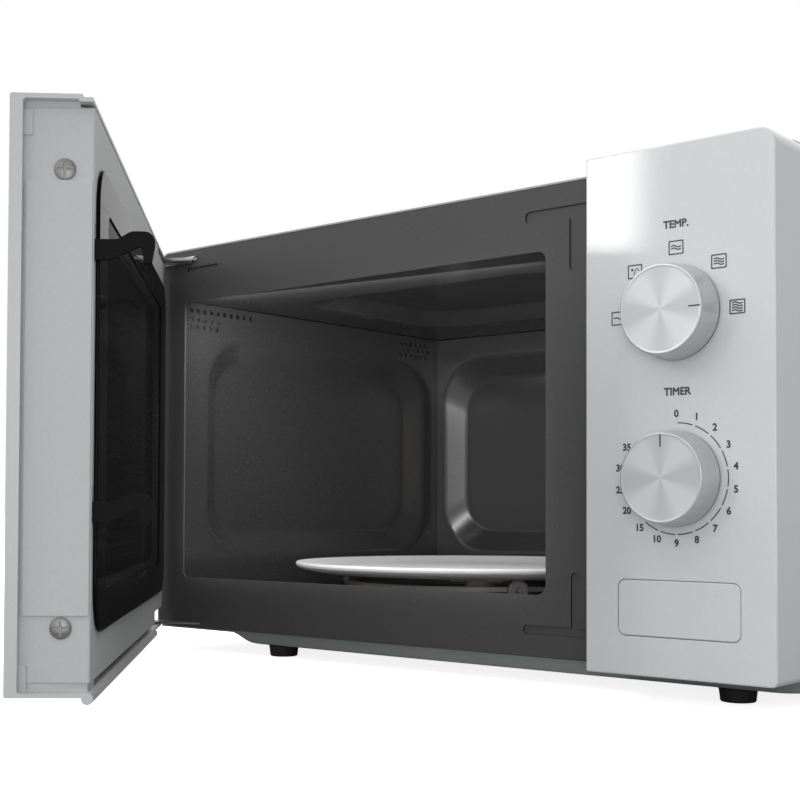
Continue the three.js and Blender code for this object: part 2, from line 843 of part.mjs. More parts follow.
function addControls() {
  oven.add(piece("control_panel", controlPanel(), silverPlastic));
  oven.add(piece("release_button", releaseButton(), silverPlastic));
  oven.add(piece("release_lever", releaseLever(), innerPlastic));
  const unitFront = latchFloor + 2;
  const shafts = { timer: timerHeight, power: powerHeight };
  for (const [dial, z] of Object.entries(shafts)) {
    oven.add(piece(`${dial}_knob`, knob(z), spunMetal));
    const shaft = rod("y", [dialX, z], -10.5, unitFront + 7, shaftRadius, 12);
    oven.add(piece(`${dial}_shaft`, shaft, zincSteel));
  }
  const unit = cut(
    box([dialX - 32, dialX + 32], [unitFront, unitFront + 30], [
      timerHeight - 22,
      powerHeight + 22,
    ]),
    ...Object.values(shafts).map((z) =>
      rod("y", [dialX, z], unitFront - 1, unitFront + 8, shaftRadius + gap, 12),
    ),
  );
  oven.add(piece("timer_unit", unit, innerPlastic));

  // The interlock board carries two ledges for the hooks and three switches.
  const boardX = [hookX + 4.5, hookX + 7.5];
  const board = join(
    box(boardX, [latchFloor, latchFloor + 40], [lowerHook - 15, upperHook + 26]),
    ...[lowerHook, upperHook].map((z) =>
      box([hookX - 7, hookX + 5], [latchFloor + 8, latchFloor + 11], [z - 9.5, z - 1.6]),
    ),
  );
  oven.add(piece("latch_board", board, innerPlastic));
  const heights = {
    upper: upperHook + 8,
    middle: (upperHook + lowerHook) / 2,
    lower: lowerHook + 12,
  };
  for (const [place, z] of Object.entries(heights)) {
    const body = box(
      [boardX[1] + gap, boardX[1] + gap + 10],
      [latchFloor + 4, latchFloor + 32],
      [z - 8, z + 8],
    );
    const plunger = rod("y", [boardX[1] + gap + 5, z], latchFloor + 1.5, latchFloor + 5, 1.5, 8);
    oven.add(piece(`door_switch_${place}`, join(body, plunger), blackPlastic));
  }
}

// ---- Hinges ----

const tongues = {
  upper: frontHeight - 6.2, // underside of each hinge tongue
  lower: 3,
};

function hingePlate(under, flange) {
  const tongue = extrude(
    "z",
    polygon([
      [hingeInset - 4.6, hingeDepth - 3],
      [hingeInset - 2, hingeDepth - 6],
      [hingeInset + 2, hingeDepth - 6],
      [hingeInset + tongueReach - 14, seat - gap - 5],
      [hingeInset + tongueReach, seat - gap],
      [hingeInset - 0.4, seat - gap],
      [hingeInset - 4.6, seat - 8],
    ]),
    under,
    under + tongueSheet,
  );
  const upright = extrude(
    "y",
    polygon([
      [hingeInset - 0.4, flange[0]],
      [hingeInset + tongueReach - 5, flange[0]],
      [hingeInset + tongueReach, flange[1]],
      [hingeInset - 0.4, flange[1]],
    ]),
    seat - gap - 1.4,
    seat - gap,
  );
  const hole = rod("z", [hingeInset, hingeDepth], under - 1, under + 4, pinRadius + 0.3, 16);
  return cut(join(tongue, upright), hole);
}

function addHinges() {
  const upper = hingePlate(tongues.upper, [tongues.upper - 1.5, tongues.upper + 2.6]);
  const lower = hingePlate(tongues.lower, [tongues.lower - 0.8, tongues.lower + 9]);
  oven.add(piece("upper_hinge_plate", upper, zincSteel));
  oven.add(piece("lower_hinge_plate", lower, zincSteel));
  const pin = (from, to) => rod("z", [hingeInset, hingeDepth], from, to, pinRadius, 16);
  const upperPin = pin(tongues.upper - 12, tongues.upper + tongueSheet + 0.5);
  const lowerPin = pin(tongues.lower - 0.5, tongues.lower + tongueSheet + 18);
  oven.add(piece("upper_hinge_pin", upperPin, zincSteel));
  oven.add(piece("lower_hinge_pin", lowerPin, zincSteel));
}

// ---- Door, drawn closed and then swung open about its hinge ----

const door = new THREE.Group();
const doorWindow = {
  x: [mouth.left + 24, mouth.right + 6],
  z: [mouth.low + 13, mouth.high - 12],
};
const coverSpan = {
  x: [12, hookX - hookThickness - 0.2],
  z: [mouth.low - 8.3, mouth.high + 8],
};
const shellGlass = {
  x: [34, doorWidth - 32],
  z: [34, frontHeight - 34],
};
const grow = ([from, to], by) => [from - by, to + by];

function doorShell() {
  const face = box([0, doorWidth], [0, rimDepth], [0, frontHeight]);
  const flangeTop = box([0, doorWidth], [rimDepth - 1, doorThickness - 4.5], [
    frontHeight - 2,
    frontHeight,
  ]);
  const lipTop = box([0, doorWidth], [doorThickness - 6, doorThickness - 0.2], [
    frontHeight - 3.2,
    frontHeight - 1.3,
  ]);
  const flangeLow = box([0, doorWidth], [rimDepth - 1, doorThickness - 0.5], [0, 1.8]);
  const bead = [hingeInset + tongueReach + 4, doorWidth];
  const dripBead = rod("x", [doorThickness - 0.5, -0.4], ...bead, 2.4, 12);
  const hingeSide = box([0, 2], [rimDepth - 1, hingeDepth + 8], [14, frontHeight - 16]);
  const opening = extrude(
    "y",
    roundedRectangle(grow(shellGlass.x, -14), grow(shellGlass.z, -14), 6),
    -1,
    rimDepth + 1,
  );
  const rebate = extrude(
    "y",
    roundedRectangle(shellGlass.x, shellGlass.z, 8),
    -1,
    3,
  );
  return cut(
    join(face, flangeTop, lipTop, flangeLow, dripBead, hingeSide),
    opening,
    rebate,
  );
}

function doorFrame() {
  const front = rimDepth + gap;
  const hingeEdge = hingeInset + 1;
  const z = [5, frontHeight - 4.2];
  const pan = cut(
    box([hingeEdge, endFace], [front, doorThickness], z),
    box([hingeEdge + frameWall, endFace - frameWall], [front - 1, doorThickness - frameWall], [
      z[0] + frameWall,
      z[1] - frameWall,
    ]),
  );
  const band = box([endFace - 0.5, endFace + 1], [front + 1, doorThickness], [
    z[0] + 27.8,
    z[1] - 30.5,
  ]);
  const collar = extrude(
    "y",
    roundedRectangle(grow(doorWindow.x, 6), grow(doorWindow.z, 6), 6),
    hingeDepth,
    doorThickness - 0.5,
  );
  const pane = extrude(
    "y",
    roundedRectangle(doorWindow.x, doorWindow.z, 5),
    hingeDepth - 1,
    doorThickness + 1,
  );
  const screenSeat = box(
    grow(doorWindow.x, 4 + gap),
    [screenY[0] - gap, screenY[1] + gap],
    grow(doorWindow.z, 4 + gap),
  );
  const bosses = [
    [tongues.lower + 10, tongues.lower + 26],
    [tongues.upper - 18, tongues.upper - 2],
  ].map((span) =>
    box([hingeEdge, hingeInset + 12], [hingeDepth - 6, hingeDepth + 6], span),
  );
  const pockets = [
    [0, tongues.lower + 10],
    [tongues.upper - 2, frontHeight],
  ].map((span) => box([0, hingeInset + tongueReach + 3], [front - 1, doorThickness + 1], span));
  const pinBores = rod("z", [hingeInset, hingeDepth], 0, frontHeight, pinRadius + gap, 16);
  const pinReliefs = box(
    [0, hingeInset + 0.01],
    [hingeDepth - 8, hingeDepth + 8],
    [0, frontHeight],
  );
  const slots = [lowerHook, upperHook].map((low) =>
    box(
      [hookX - hookThickness - 0.5, hookX + 0.5],
      [doorThickness - 3, doorThickness + 1],
      [low - 1, low + 9 + hookLift + 1],
    ),
  );
  const screwHoles = screwHeights.map((h) =>
    rod("x", [screwDepth, h], endFace - 5, endFace + 3, 1.8 + gap, 12),
  );
  return cut(
    join(pan, band, collar, ...bosses),
    pane,
    screenSeat,
    pinBores,
    pinReliefs,
    ...pockets,
    ...slots,
    ...screwHoles,
  );
}

const screenY = [doorThickness - 4.5, doorThickness - 3.5];
const screwDepth = 22;
const screwHeights = [frontHeight - 30.2, 27.8];

function latchKey() {
  const spineX = [hookX - hookThickness, hookX];
  const spine = box(spineX, [hingeDepth - 4, hingeDepth + 7], [
    lowerHook - 12,
    upperHook + 26,
  ]);
  const root = doorThickness;
  const hook = (low) => {
    const shape = new THREE.Shape();
    shape.moveTo(hingeDepth, low);
    shape.lineTo(root + 5.5, low);
    shape.lineTo(root + 18.2, low + 5.6);
    shape.lineTo(root + 20, low + 0.8);
    shape.lineTo(root + 21.3, low - 1);
    shape.lineTo(root + 23.2, low - 0.8);
    shape.lineTo(root + 24.6, low + 7);
    shape.absarc(root + 20.2, low + 7.6, 4.4, 0, Math.PI / 2, false);
    shape.lineTo(root + 15, low + 12);
    shape.lineTo(root + 9.2, low + 8.6);
    shape.lineTo(hingeDepth, low + 8.6);
    return extrude("x", shape, ...spineX);
  };
  return join(spine, hook(lowerHook), hook(upperHook));
}

// A coil spring that pulls the latch key down.
function latchSpring() {
  const bottom = lowerHook - 28;
  const top = lowerHook - 12 - gap;
  const turns = 5;
  const coilRadius = 2.4;
  const wireRadius = 0.5;
  const centreX = endFace - frameWall - gap - coilRadius - wireRadius;
  class Helix extends THREE.Curve {
    getPoint(t, target = new THREE.Vector3()) {
      const angle = t * turns * 2 * Math.PI;
      return target.set(
        centreX + coilRadius * Math.cos(angle),
        hingeDepth + 2 + coilRadius * Math.sin(angle),
        bottom + t * (top - bottom),
      );
    }
  }
  const wire = new THREE.Shape().absarc(0, 0, wireRadius, 0, 2 * Math.PI, false);
  return solid(
    new THREE.ExtrudeGeometry(wire, {
      extrudePath: new Helix(),
      steps: turns * 10,
      curveSegments: 3,
      bevelEnabled: false,
    }),
  );
}

function doorScrew(height) {
  const head = rod("x", [screwDepth, height], endFace + gap, endFace + gap + 1.4, 4.5, 18, 4.1);
  const shank = rod("x", [screwDepth, height], endFace - 9, endFace + 1, 1.8, 12);
  const cross = [
    box([endFace + 1, endFace + 3], [screwDepth - 3, screwDepth + 3], [height - 0.6, height + 0.6]),
    box([endFace + 1, endFace + 3], [screwDepth - 0.6, screwDepth + 0.6], [height - 3, height + 3]),
  ];
  return cut(join(head, shank), ...cross);
}

function addDoor() {
  door.add(piece("door_shell", doorShell(), silverPlastic));
  const glass = extrude(
    "y",
    roundedRectangle(grow(shellGlass.x, -gap), grow(shellGlass.z, -gap), 8 - gap),
    0,
    3 - gap,
  );
  door.add(piece("door_glass", glass, tintedGlass));
  door.add(piece("door_frame", doorFrame(), silverPaint));
  const screen = box(grow(doorWindow.x, 4), screenY, grow(doorWindow.z, 4));
  door.add(piece("mesh_screen", screen, rawSteel));
  const coverY = [doorThickness + gap, doorThickness + coverProud];
  const cover = cut(
    extrude("y", roundedRectangle(coverSpan.x, coverSpan.z, coverCorner), ...coverY),
    extrude(
      "y",
      roundedRectangle(grow(doorWindow.x, 2), grow(doorWindow.z, 3), 6),
      doorThickness - 1,
      doorThickness + 4,
    ),
  );
  door.add(piece("choke_cover", cover, blackPlastic));
  const pane = extrude(
    "y",
    roundedRectangle(grow(doorWindow.x, 2 - gap), grow(doorWindow.z, 3 - gap), 6 - gap),
    doorThickness + gap,
    doorThickness + gap + 1,
  );
  door.add(piece("inner_window", pane, clearGlass));
  door.add(piece("latch_key", latchKey(), blackPlastic));
  door.add(piece("latch_spring", latchSpring(), zincSteel));
  door.add(piece("door_screw_upper", doorScrew(screwHeights[0]), zincSteel));
  door.add(piece("door_screw_lower", doorScrew(screwHeights[1]), zincSteel));

  for (const part of door.children)
    part.geometry.translate(-hingeInset, -hingeDepth, 0);
  door.position.set(hingeInset, hingeDepth, 0);
  door.rotation.z = THREE.MathUtils.degToRad(-doorAngle);
  oven.add(door);
}

addCasing();
addCavity();
addElectrics();
addTurntable();
addControls();
addHinges();
addDoor();

const bounds = new THREE.Box3().setFromObject(oven, true);
oven.position.set(
  -(bounds.min.x + bounds.max.x) / 2,
  -(bounds.min.y + bounds.max.y) / 2,
  -bounds.min.z,
);

export default oven;
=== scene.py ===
"""A countertop microwave oven with two dials, its door standing open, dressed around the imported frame.

Lengths below are millimetres on the oven's own axes: X runs right from the door's hinge edge,
Y runs back from the control panel's face and Z runs up from the panel's lower edge.
Door pieces are modelled on the closed door and then swung open about its hinge.
"""
import math

import bmesh
import bpy
from mathutils import Matrix, Vector


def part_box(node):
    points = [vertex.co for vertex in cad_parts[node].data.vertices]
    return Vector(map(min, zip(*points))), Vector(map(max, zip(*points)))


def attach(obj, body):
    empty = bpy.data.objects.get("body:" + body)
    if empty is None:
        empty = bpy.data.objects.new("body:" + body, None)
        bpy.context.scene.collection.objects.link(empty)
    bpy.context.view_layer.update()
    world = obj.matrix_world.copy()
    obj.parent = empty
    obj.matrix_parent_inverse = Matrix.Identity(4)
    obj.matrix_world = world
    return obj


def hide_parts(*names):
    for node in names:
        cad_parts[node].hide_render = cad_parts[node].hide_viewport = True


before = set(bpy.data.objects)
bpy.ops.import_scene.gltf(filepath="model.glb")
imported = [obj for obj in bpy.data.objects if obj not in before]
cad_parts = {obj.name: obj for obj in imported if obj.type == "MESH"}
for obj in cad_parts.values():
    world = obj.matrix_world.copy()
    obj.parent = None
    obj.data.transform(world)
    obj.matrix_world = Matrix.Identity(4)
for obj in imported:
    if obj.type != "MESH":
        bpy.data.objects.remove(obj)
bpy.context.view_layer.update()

MM = 0.001
FRONT_WIDTH = 452
FRONT_HEIGHT = 246
panel_low, panel_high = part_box("control_panel")
ORIGIN = Vector((panel_high.x - FRONT_WIDTH * MM, panel_low.y, panel_low.z))


def at(x, y, z):
    """A point on the oven's own axes, in the frame's metres."""
    return ORIGIN + Vector((x, y, z)) * MM


# ---- Sizes that several pieces share ----

DOOR_WIDTH = 354.5
DOOR_DEPTH = 34
DOOR_ANGLE = 45.5
HINGE = (5, 23)
PLATE = (36, 37.2)
CABINET = (3, 450)
CABINET_TOP = 248
CABINET_BACK = 340
CAVITY_X = (26.5, 310.5)
CAVITY_Y = (37.6, 307.6)
CAVITY_Z = (23, 214)
MOUTH = ((27.5, 309.5), (32.5, 213))
WINDOW = ((51.5, 315.5), (45.5, 201))
END_FACE = 350.5
HOOK_SIDE = (345.4, 348.4)
HOOK_ROOTS = (70.9, 179.2)
SCREW_DEPTH = 22
SCREW_HEIGHTS = {215.8: "upper", 27.8: "lower"}
PANEL_LEFT = 356
PANEL_DEPTH = 35.6
PRINT = (-0.04, 0.0)
DIAL_X = 404
DIALS = {"timer": 91.5, "power": 167.5}
TURNTABLE = (168.5, 172.6)
TRAY_RADIUS = 122.5
PRESS_DEPTH = 10
SHEET = 1
BUTTON = ((373.4, 435.4), (18.4, 45))
AXES = {"x": 0, "y": 1, "z": 2}


# ---- Camera, floor and light ----


def placed(name, data):
    """A new object in the scene, at the origin."""
    piece = bpy.data.objects.new(name, data)
    bpy.context.scene.collection.objects.link(piece)
    return piece


def add_camera():
    """The view from the front right, level with the lower dial."""
    data = bpy.data.cameras.new("camera")
    data.lens = 61.425
    data.sensor_width = 36
    data.shift_x = 0.0476
    data.shift_y = 0.0928
    camera = placed("camera", data)
    yaw, pitch, roll = (math.radians(angle) for angle in (40.977, 1.551, 0.245))
    place = Matrix.Translation(at(704.0, -564.3, 76.0))
    aim = Matrix.Rotation(yaw, 4, "Z") @ Matrix.Rotation(math.pi / 2 + pitch, 4, "X")
    camera.matrix_world = place @ aim @ Matrix.Rotation(roll, 4, "Z")
    bpy.context.scene.camera = camera


def links(tree, *pairs):
    for source, target in pairs:
        tree.links.new(source, target)


def math_node(tree, operation, *values, clamp=False):
    """A Math node whose inputs are numbers or other nodes' outputs."""
    node = tree.nodes.new("ShaderNodeMath")
    node.operation = operation
    node.use_clamp = clamp
    for socket, value in zip(node.inputs, values):
        if isinstance(value, (int, float)):
            socket.default_value = value
        else:
            tree.links.new(value, socket)
    return node.outputs[0]


def fade(tree, value, start, end):
    """0 before start, 1 after end, and a smooth step between them."""
    node = tree.nodes.new("ShaderNodeMapRange")
    node.interpolation_type = "SMOOTHSTEP"
    node.inputs["From Min"].default_value = start
    node.inputs["From Max"].default_value = end
    tree.links.new(value, node.inputs["Value"])
    return node.outputs["Result"]


def add_world():
    """White studio: a soft dome, darker below, with one bright card high on the front left."""
    world = bpy.data.worlds.new("studio")
    bpy.context.scene.world = world
    world.use_nodes = True
    tree = world.node_tree
    tree.nodes.clear()
    coordinates = tree.nodes.new("ShaderNodeTexCoord")
    direction = tree.nodes.new("ShaderNodeSeparateXYZ")
    tree.links.new(coordinates.outputs["Generated"], direction.inputs[0])
    x, y, z = direction.outputs
    elevation = math_node(tree, "ARCSINE", z)
    leftward = math_node(tree, "MULTIPLY", x, -1.0)
    forward = math_node(tree, "MULTIPLY", y, -1.0)
    azimuth = math_node(tree, "ARCTAN2", leftward, forward)
    dome = fade(tree, elevation, -0.35, 0.9)
    side = math_node(tree, "MULTIPLY_ADD", fade(tree, x, 0.1, 0.9), -0.6, 1.0)
    level = math_node(tree, "MULTIPLY", math_node(tree, "MULTIPLY_ADD", dome, 0.7, 0.6), side)
    above = fade(tree, elevation, 0.186, 0.191)
    below_top = math_node(tree, "SUBTRACT", 1.0, fade(tree, elevation, 0.35, 0.75))
    card_left = fade(tree, azimuth, 0.50, 0.53)
    card_right = math_node(tree, "SUBTRACT", 1.0, fade(tree, azimuth, 0.9, 1.15))
    card = math_node(tree, "MULTIPLY", above, below_top)
    card = math_node(tree, "MULTIPLY", card, card_left)
    card = math_node(tree, "MULTIPLY", card, card_right)
    near_edge = math_node(tree, "SUBTRACT", 1.0, fade(tree, azimuth, 0.535, 0.59))
    strength = math_node(tree, "MULTIPLY_ADD", near_edge, 9.5, 3.0)
    glow = math_node(tree, "MULTIPLY", card, strength)
    total = math_node(tree, "ADD", level, glow)
    path = tree.nodes.new("ShaderNodeLightPath")
    seen = tree.nodes.new("ShaderNodeMix")
    seen.data_type = "FLOAT"
    links(tree, (path.outputs["Is Camera Ray"], seen.inputs["Factor"]), (total, seen.inputs["A"]))
    seen.inputs["B"].default_value = 1.0
    background = tree.nodes.new("ShaderNodeBackground")
    background.inputs["Color"].default_value = (1, 1, 1, 1)
    output = tree.nodes.new("ShaderNodeOutputWorld")
    links(tree, (seen.outputs["Result"], background.inputs["Strength"]))
    links(tree, (background.outputs[0], output.inputs["Surface"]))


def add_area(name, place, aim, size, power):
    """A soft one-sided lamp that the camera itself doesn't see."""
    data = bpy.data.lights.new(name, "AREA")
    data.shape = "RECTANGLE"
    data.size, data.size_y = size
    data.energy = power
    light = placed(name, data)
    light.location = place
    light.rotation_euler = (Vector(aim) - Vector(place)).to_track_quat("-Z", "Y").to_euler()
    light.visible_camera = False


def add_floor():
    """A wide pale floor: white to look at, and duller in what it throws back up."""
    bpy.ops.mesh.primitive_plane_add(size=30, location=(0, 0, 0))
    floor = bpy.context.active_object
    floor.name = "floor"
    material = bpy.data.materials.new("floor")
    material.use_nodes = True
    tree = material.node_tree
    tree.nodes.clear()
    path = tree.nodes.new("ShaderNodeLightPath")
    shade = tree.nodes.new("ShaderNodeMix")
    shade.data_type = "RGBA"
    shade.inputs["A"].default_value = (0.42, 0.42, 0.42, 1)
    shade.inputs["B"].default_value = (1, 1, 1, 1)
    diffuse = tree.nodes.new("ShaderNodeBsdfDiffuse")
    glow = tree.nodes.new("ShaderNodeEmission")
    seen = math_node(tree, "MULTIPLY", path.outputs["Is Camera Ray"], 0.85)
    both = tree.nodes.new("ShaderNodeAddShader")
    output = tree.nodes.new("ShaderNodeOutputMaterial")
    links(
        tree,
        (path.outputs["Is Camera Ray"], shade.inputs["Factor"]),
        (shade.outputs["Result"], diffuse.inputs["Color"]),
        (seen, glow.inputs["Strength"]),
        (diffuse.outputs[0], both.inputs[0]),
        (glow.outputs[0], both.inputs[1]),
        (both.outputs[0], output.inputs["Surface"]),
    )
    floor.data.materials.append(material)


# ---- Working on a piece ----


def only(piece):
    bpy.ops.object.select_all(action="DESELECT")
    piece.select_set(True)
    bpy.context.view_layer.objects.active = piece


def edit(piece):
    only(piece)
    bpy.ops.object.mode_set(mode="EDIT")


def done():
    bpy.ops.object.mode_set(mode="OBJECT")


def settle():
    """Puts the selected piece's place, turn and size into its mesh."""
    bpy.ops.object.transform_apply(location=True, rotation=True, scale=True)


def on_axes(point):
    """A mesh point in millimetres on the oven's own axes."""
    return (point - ORIGIN) / MM


def choose_edges(piece, wanted):
    """In edit mode, selects only the edges that pass the test."""
    bpy.ops.mesh.select_mode(type="EDGE")
    bpy.ops.mesh.select_all(action="DESELECT")
    shape = bmesh.from_edit_mesh(piece.data)
    for edge in shape.edges:
        if wanted(edge):
            edge.select_set(True)
    bmesh.update_edit_mesh(piece.data)


def edge_at(axis, **limits):
    """A test for edges that run along an axis and lie where the limits say, each (x, y or z)=value."""

    def wanted(edge):
        a, b = (on_axes(vertex.co) for vertex in edge.verts)
        run = (b - a).normalized()
        if axis and abs(run[AXES[axis]]) < 0.99:
            return False
        middle = (a + b) / 2
        return all(abs(middle[AXES[name]] - value) < 0.05 for name, value in limits.items())

    return wanted


def round_edges(piece, wanted, radius, segments=4):
    edit(piece)
    choose_edges(piece, wanted)
    bpy.ops.mesh.bevel(offset=radius * MM, segments=segments, affect="EDGES")
    done()


def block(name, x, y, z):
    low, high = at(x[0], y[0], z[0]), at(x[1], y[1], z[1])
    bpy.ops.object.select_all(action="DESELECT")
    bpy.ops.mesh.primitive_cube_add(size=1, location=(low + high) / 2)
    piece = bpy.context.active_object
    piece.name = name
    piece.scale = high - low
    settle()
    return piece


def apply_modifier(piece, kind, **settings):
    only(piece)
    modifier = piece.modifiers.new(kind.lower(), kind)
    for name, value in settings.items():
        setattr(modifier, name, value)
    bpy.ops.object.modifier_apply(modifier=modifier.name)


def boolean(piece, operation, *tools):
    for tool in tools:
        apply_modifier(piece, "BOOLEAN", operation=operation, object=tool, solver="EXACT")
        bpy.data.objects.remove(tool, do_unlink=True)
    return piece


def cut(piece, *tools):
    return boolean(piece, "DIFFERENCE", *tools)


def weld(piece, *others):
    return boolean(piece, "UNION", *others)


def soften(piece, width, segments=2, angle=40):
    """Rounds every sharp edge a little and shades the piece smooth."""
    apply_modifier(
        piece,
        "BEVEL",
        width=width * MM,
        segments=segments,
        limit_method="ANGLE",
        angle_limit=math.radians(angle),
        use_clamp_overlap=True,
    )
    smooth(piece)
    return piece


def smooth(piece, angle=35):
    only(piece)
    bpy.ops.object.shade_smooth_by_angle(angle=math.radians(angle))
    apply_modifier(piece, "WEIGHTED_NORMAL", keep_sharp=True)


def joined(name, pieces):
    bpy.ops.object.select_all(action="DESELECT")
    for piece in pieces:
        piece.select_set(True)
    bpy.context.view_layer.objects.active = pieces[0]
    bpy.ops.object.join()
    pieces[0].name = name
    return pieces[0]


def spin_about(piece, centre, turn):
    """Turns a piece about an upright axis, by an angle in radians."""
    middle = at(*centre)
    only(piece)
    rotation = Matrix.Rotation(turn, 4, "Z")
    piece.matrix_world = Matrix.Translation(middle) @ rotation @ Matrix.Translation(-middle)
    settle()


def swing(piece):
    """Turns a piece of the closed door open about the hinge."""
    spin_about(piece, (*HINGE, 0), math.radians(-DOOR_ANGLE))


def fit(piece, body, slot, finish, *stands_for):
    """Gives a finished piece its finish, its body and the nodes that it stands for; its slot is not used."""
    piece.data.materials.clear()
    piece.data.materials.append(FINISHES[finish])
    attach(piece, body)
    if stands_for:
        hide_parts(*stands_for)


# ---- Outlines and what is drawn from them ----


def arc(centre, radius, start, end, steps=8):
    """Points on an arc between two angles in degrees, anticlockwise from the first drawing axis."""
    turns = [math.radians(start + (end - start) * i / steps) for i in range(steps + 1)]
    return [(centre[0] + radius * math.cos(t), centre[1] + radius * math.sin(t)) for t in turns]


def rounded(a, b, radii, steps=6):
    """A rectangle with a radius at each corner: lower left, lower right, upper right, upper left."""
    r = radii if isinstance(radii, (list, tuple)) else [radii] * 4
    corners = [
        (a[0] + r[0], b[0] + r[0], r[0], 180),
        (a[1] - r[1], b[0] + r[1], r[1], 270),
        (a[1] - r[2], b[1] - r[2], r[2], 0),
        (a[0] + r[3], b[1] - r[3], r[3], 90),
    ]
    points = []
    for u, v, radius, start in corners:
        points += arc((u, v), radius, start, start + 90, steps)
    return points


def grown(span, by):
    return (span[0] - by, span[1] + by)


def ribbon(points, width):
    """A closed outline that follows a line of points, half the width to each side."""
    sides = ([], [])
    for i, (u, v) in enumerate(points):
        before, after = points[max(i - 1, 0)], points[min(i + 1, len(points) - 1)]
        along = Vector((after[0] - before[0], after[1] - before[1])).normalized()
        for side, sign in zip(sides, (1, -1)):
            side.append((u - sign * along.y * width / 2, v + sign * along.x * width / 2))
    return sides[0] + sides[1][::-1]


def lay_along(piece, axis, start):
    """Turns a piece drawn flat so that its thickness runs along the axis, and moves it to its start."""
    turns = {
        "x": Matrix(((0, 0, 1), (1, 0, 0), (0, 1, 0))),
        "y": Matrix(((1, 0, 0), (0, 0, 1), (0, 1, 0))),
        "z": Matrix.Identity(3),
    }
    place = {"x": at(start, 0, 0), "y": at(0, start, 0), "z": at(0, 0, start)}[axis]
    only(piece)
    piece.matrix_world = Matrix.Translation(place) @ turns[axis].to_4x4()
    settle()
    if axis == "y":
        edit(piece)
        bpy.ops.mesh.select_all(action="SELECT")
        bpy.ops.mesh.flip_normals()
        done()


def plate(name, axis, outlines, span, edge=0.0):
    """A flat piece from a drawing: an outline, then its holes, given a thickness and round edges.

    It is drawn in (y, z) for x, (x, z) for y and (x, y) for z."""
    curve = bpy.data.curves.new(name, "CURVE")
    curve.dimensions = "2D"
    curve.fill_mode = "BOTH"
    curve.extrude = ((span[1] - span[0]) / 2 - edge) * MM
    curve.bevel_depth = edge * MM
    curve.bevel_resolution = 2
    curve.offset = -edge * MM
    for number, outline in enumerate(outlines):
        spline = curve.splines.new("POLY")
        spline.points.add(len(outline) - 1)
        turned_round = outline if number == 0 else outline[::-1]
        for point, (u, v) in zip(spline.points, turned_round):
            point.co = (u * MM, v * MM, 0, 1)
        spline.use_cyclic_u = True
    piece = placed(name, curve)
    only(piece)
    bpy.ops.object.convert(target="MESH")
    edit(piece)
    bpy.ops.mesh.select_all(action="SELECT")
    bpy.ops.mesh.remove_doubles(threshold=0.00001)
    bpy.ops.mesh.normals_make_consistent(inside=False)
    done()
    lay_along(piece, axis, (span[0] + span[1]) / 2)
    return piece


def turned(name, outline, centre, axis="z", steps=72):
    """A round piece: an outline of (radius, height) points spun about its axis and closed."""
    mesh = bpy.data.meshes.new(name)
    points = [(r * MM, 0, h * MM) for r, h in outline]
    mesh.from_pydata(points, [(i, i + 1) for i in range(len(points) - 1)], [])
    piece = placed(name, mesh)
    edit(piece)
    bpy.ops.mesh.select_all(action="SELECT")
    bpy.ops.mesh.spin(steps=steps, angle=2 * math.pi, center=(0, 0, 0), axis=(0, 0, 1))
    bpy.ops.mesh.select_all(action="SELECT")
    bpy.ops.mesh.remove_doubles(threshold=0.000005)
    bpy.ops.mesh.normals_make_consistent(inside=False)
    done()
    turns = {"z": Matrix.Identity(4), "y": Matrix.Rotation(math.pi / 2, 4, "X")}
    turns["x"] = Matrix.Rotation(math.pi / 2, 4, "Y")
    only(piece)
    piece.matrix_world = Matrix.Translation(at(*centre)) @ turns[axis]
    settle()
    smooth(piece, 30)
    return piece


def rod(name, axis, centre, span, radius, sides=32):
    """A round bar along an axis, from one place on it to another."""
    middle = list(centre)
    middle.insert(AXES[axis], (span[0] + span[1]) / 2)
    turn = {"x": (0, math.pi / 2, 0), "y": (math.pi / 2, 0, 0), "z": (0, 0, 0)}[axis]
    bpy.ops.object.select_all(action="DESELECT")
    bpy.ops.mesh.primitive_cylinder_add(
        vertices=sides,
        radius=radius * MM,
        depth=(span[1] - span[0]) * MM,
        location=at(*middle),
        rotation=turn,
    )
    piece = bpy.context.active_object
    piece.name = name
    settle()
    return piece


def stepped(name, axis, rings):
    """A skin of closed outlines, each (outline, height along the axis), bridged in turn and filled."""
    mesh = bpy.data.meshes.new(name)
    count = len(rings[0][0])
    points = []
    edges = []
    for outline, height in rings:
        start = len(points)
        for u, v in outline:
            spot = {"x": (height, u, v), "y": (u, height, v), "z": (u, v, height)}[axis]
            points.append(at(*spot))
        edges += [(start + i, start + (i + 1) % count) for i in range(count)]
    mesh.from_pydata(points, edges, [])
    piece = placed(name, mesh)
    edit(piece)
    for ring in range(len(rings) - 1):
        reach = range(ring * count, (ring + 2) * count)
        choose_edges(piece, lambda edge: all(v.index in reach for v in edge.verts))
        bpy.ops.mesh.bridge_edge_loops()
    inner = range((len(rings) - 1) * count, len(rings) * count)
    choose_edges(piece, lambda edge: all(v.index in inner for v in edge.verts))
    bpy.ops.mesh.edge_face_add()
    bpy.ops.mesh.select_all(action="SELECT")
    bpy.ops.mesh.normals_make_consistent(inside=False)
    done()
    return piece


def pressing(a, b, corner, run, face, side):
    """The rings of a panel pressed out of a wall: a straight slope with a small bend at each end."""
    rings = []
    bend = 0.22
    steepness = 1 / (1 - bend)
    start = [(bend * i / 4, steepness * bend * (i / 4) ** 2 / 2) for i in range(5)]
    profile = start + [(1 - share, 1 - eased) for share, eased in start[::-1]]
    for share, eased in profile:
        inset = run * share
        outline = rounded(grown(a, -inset), grown(b, -inset), max(corner - inset * 0.45, 3), 8)
        rings.append((outline, face + side * PRESS_DEPTH * eased))
    return rings


# ---- Shared surface effects ----


FLOAT = "NodeSocketFloat"
COLOUR = "NodeSocketColor"
OUTPUTS = [("Color", COLOUR), ("Roughness", FLOAT), ("Height", FLOAT)]


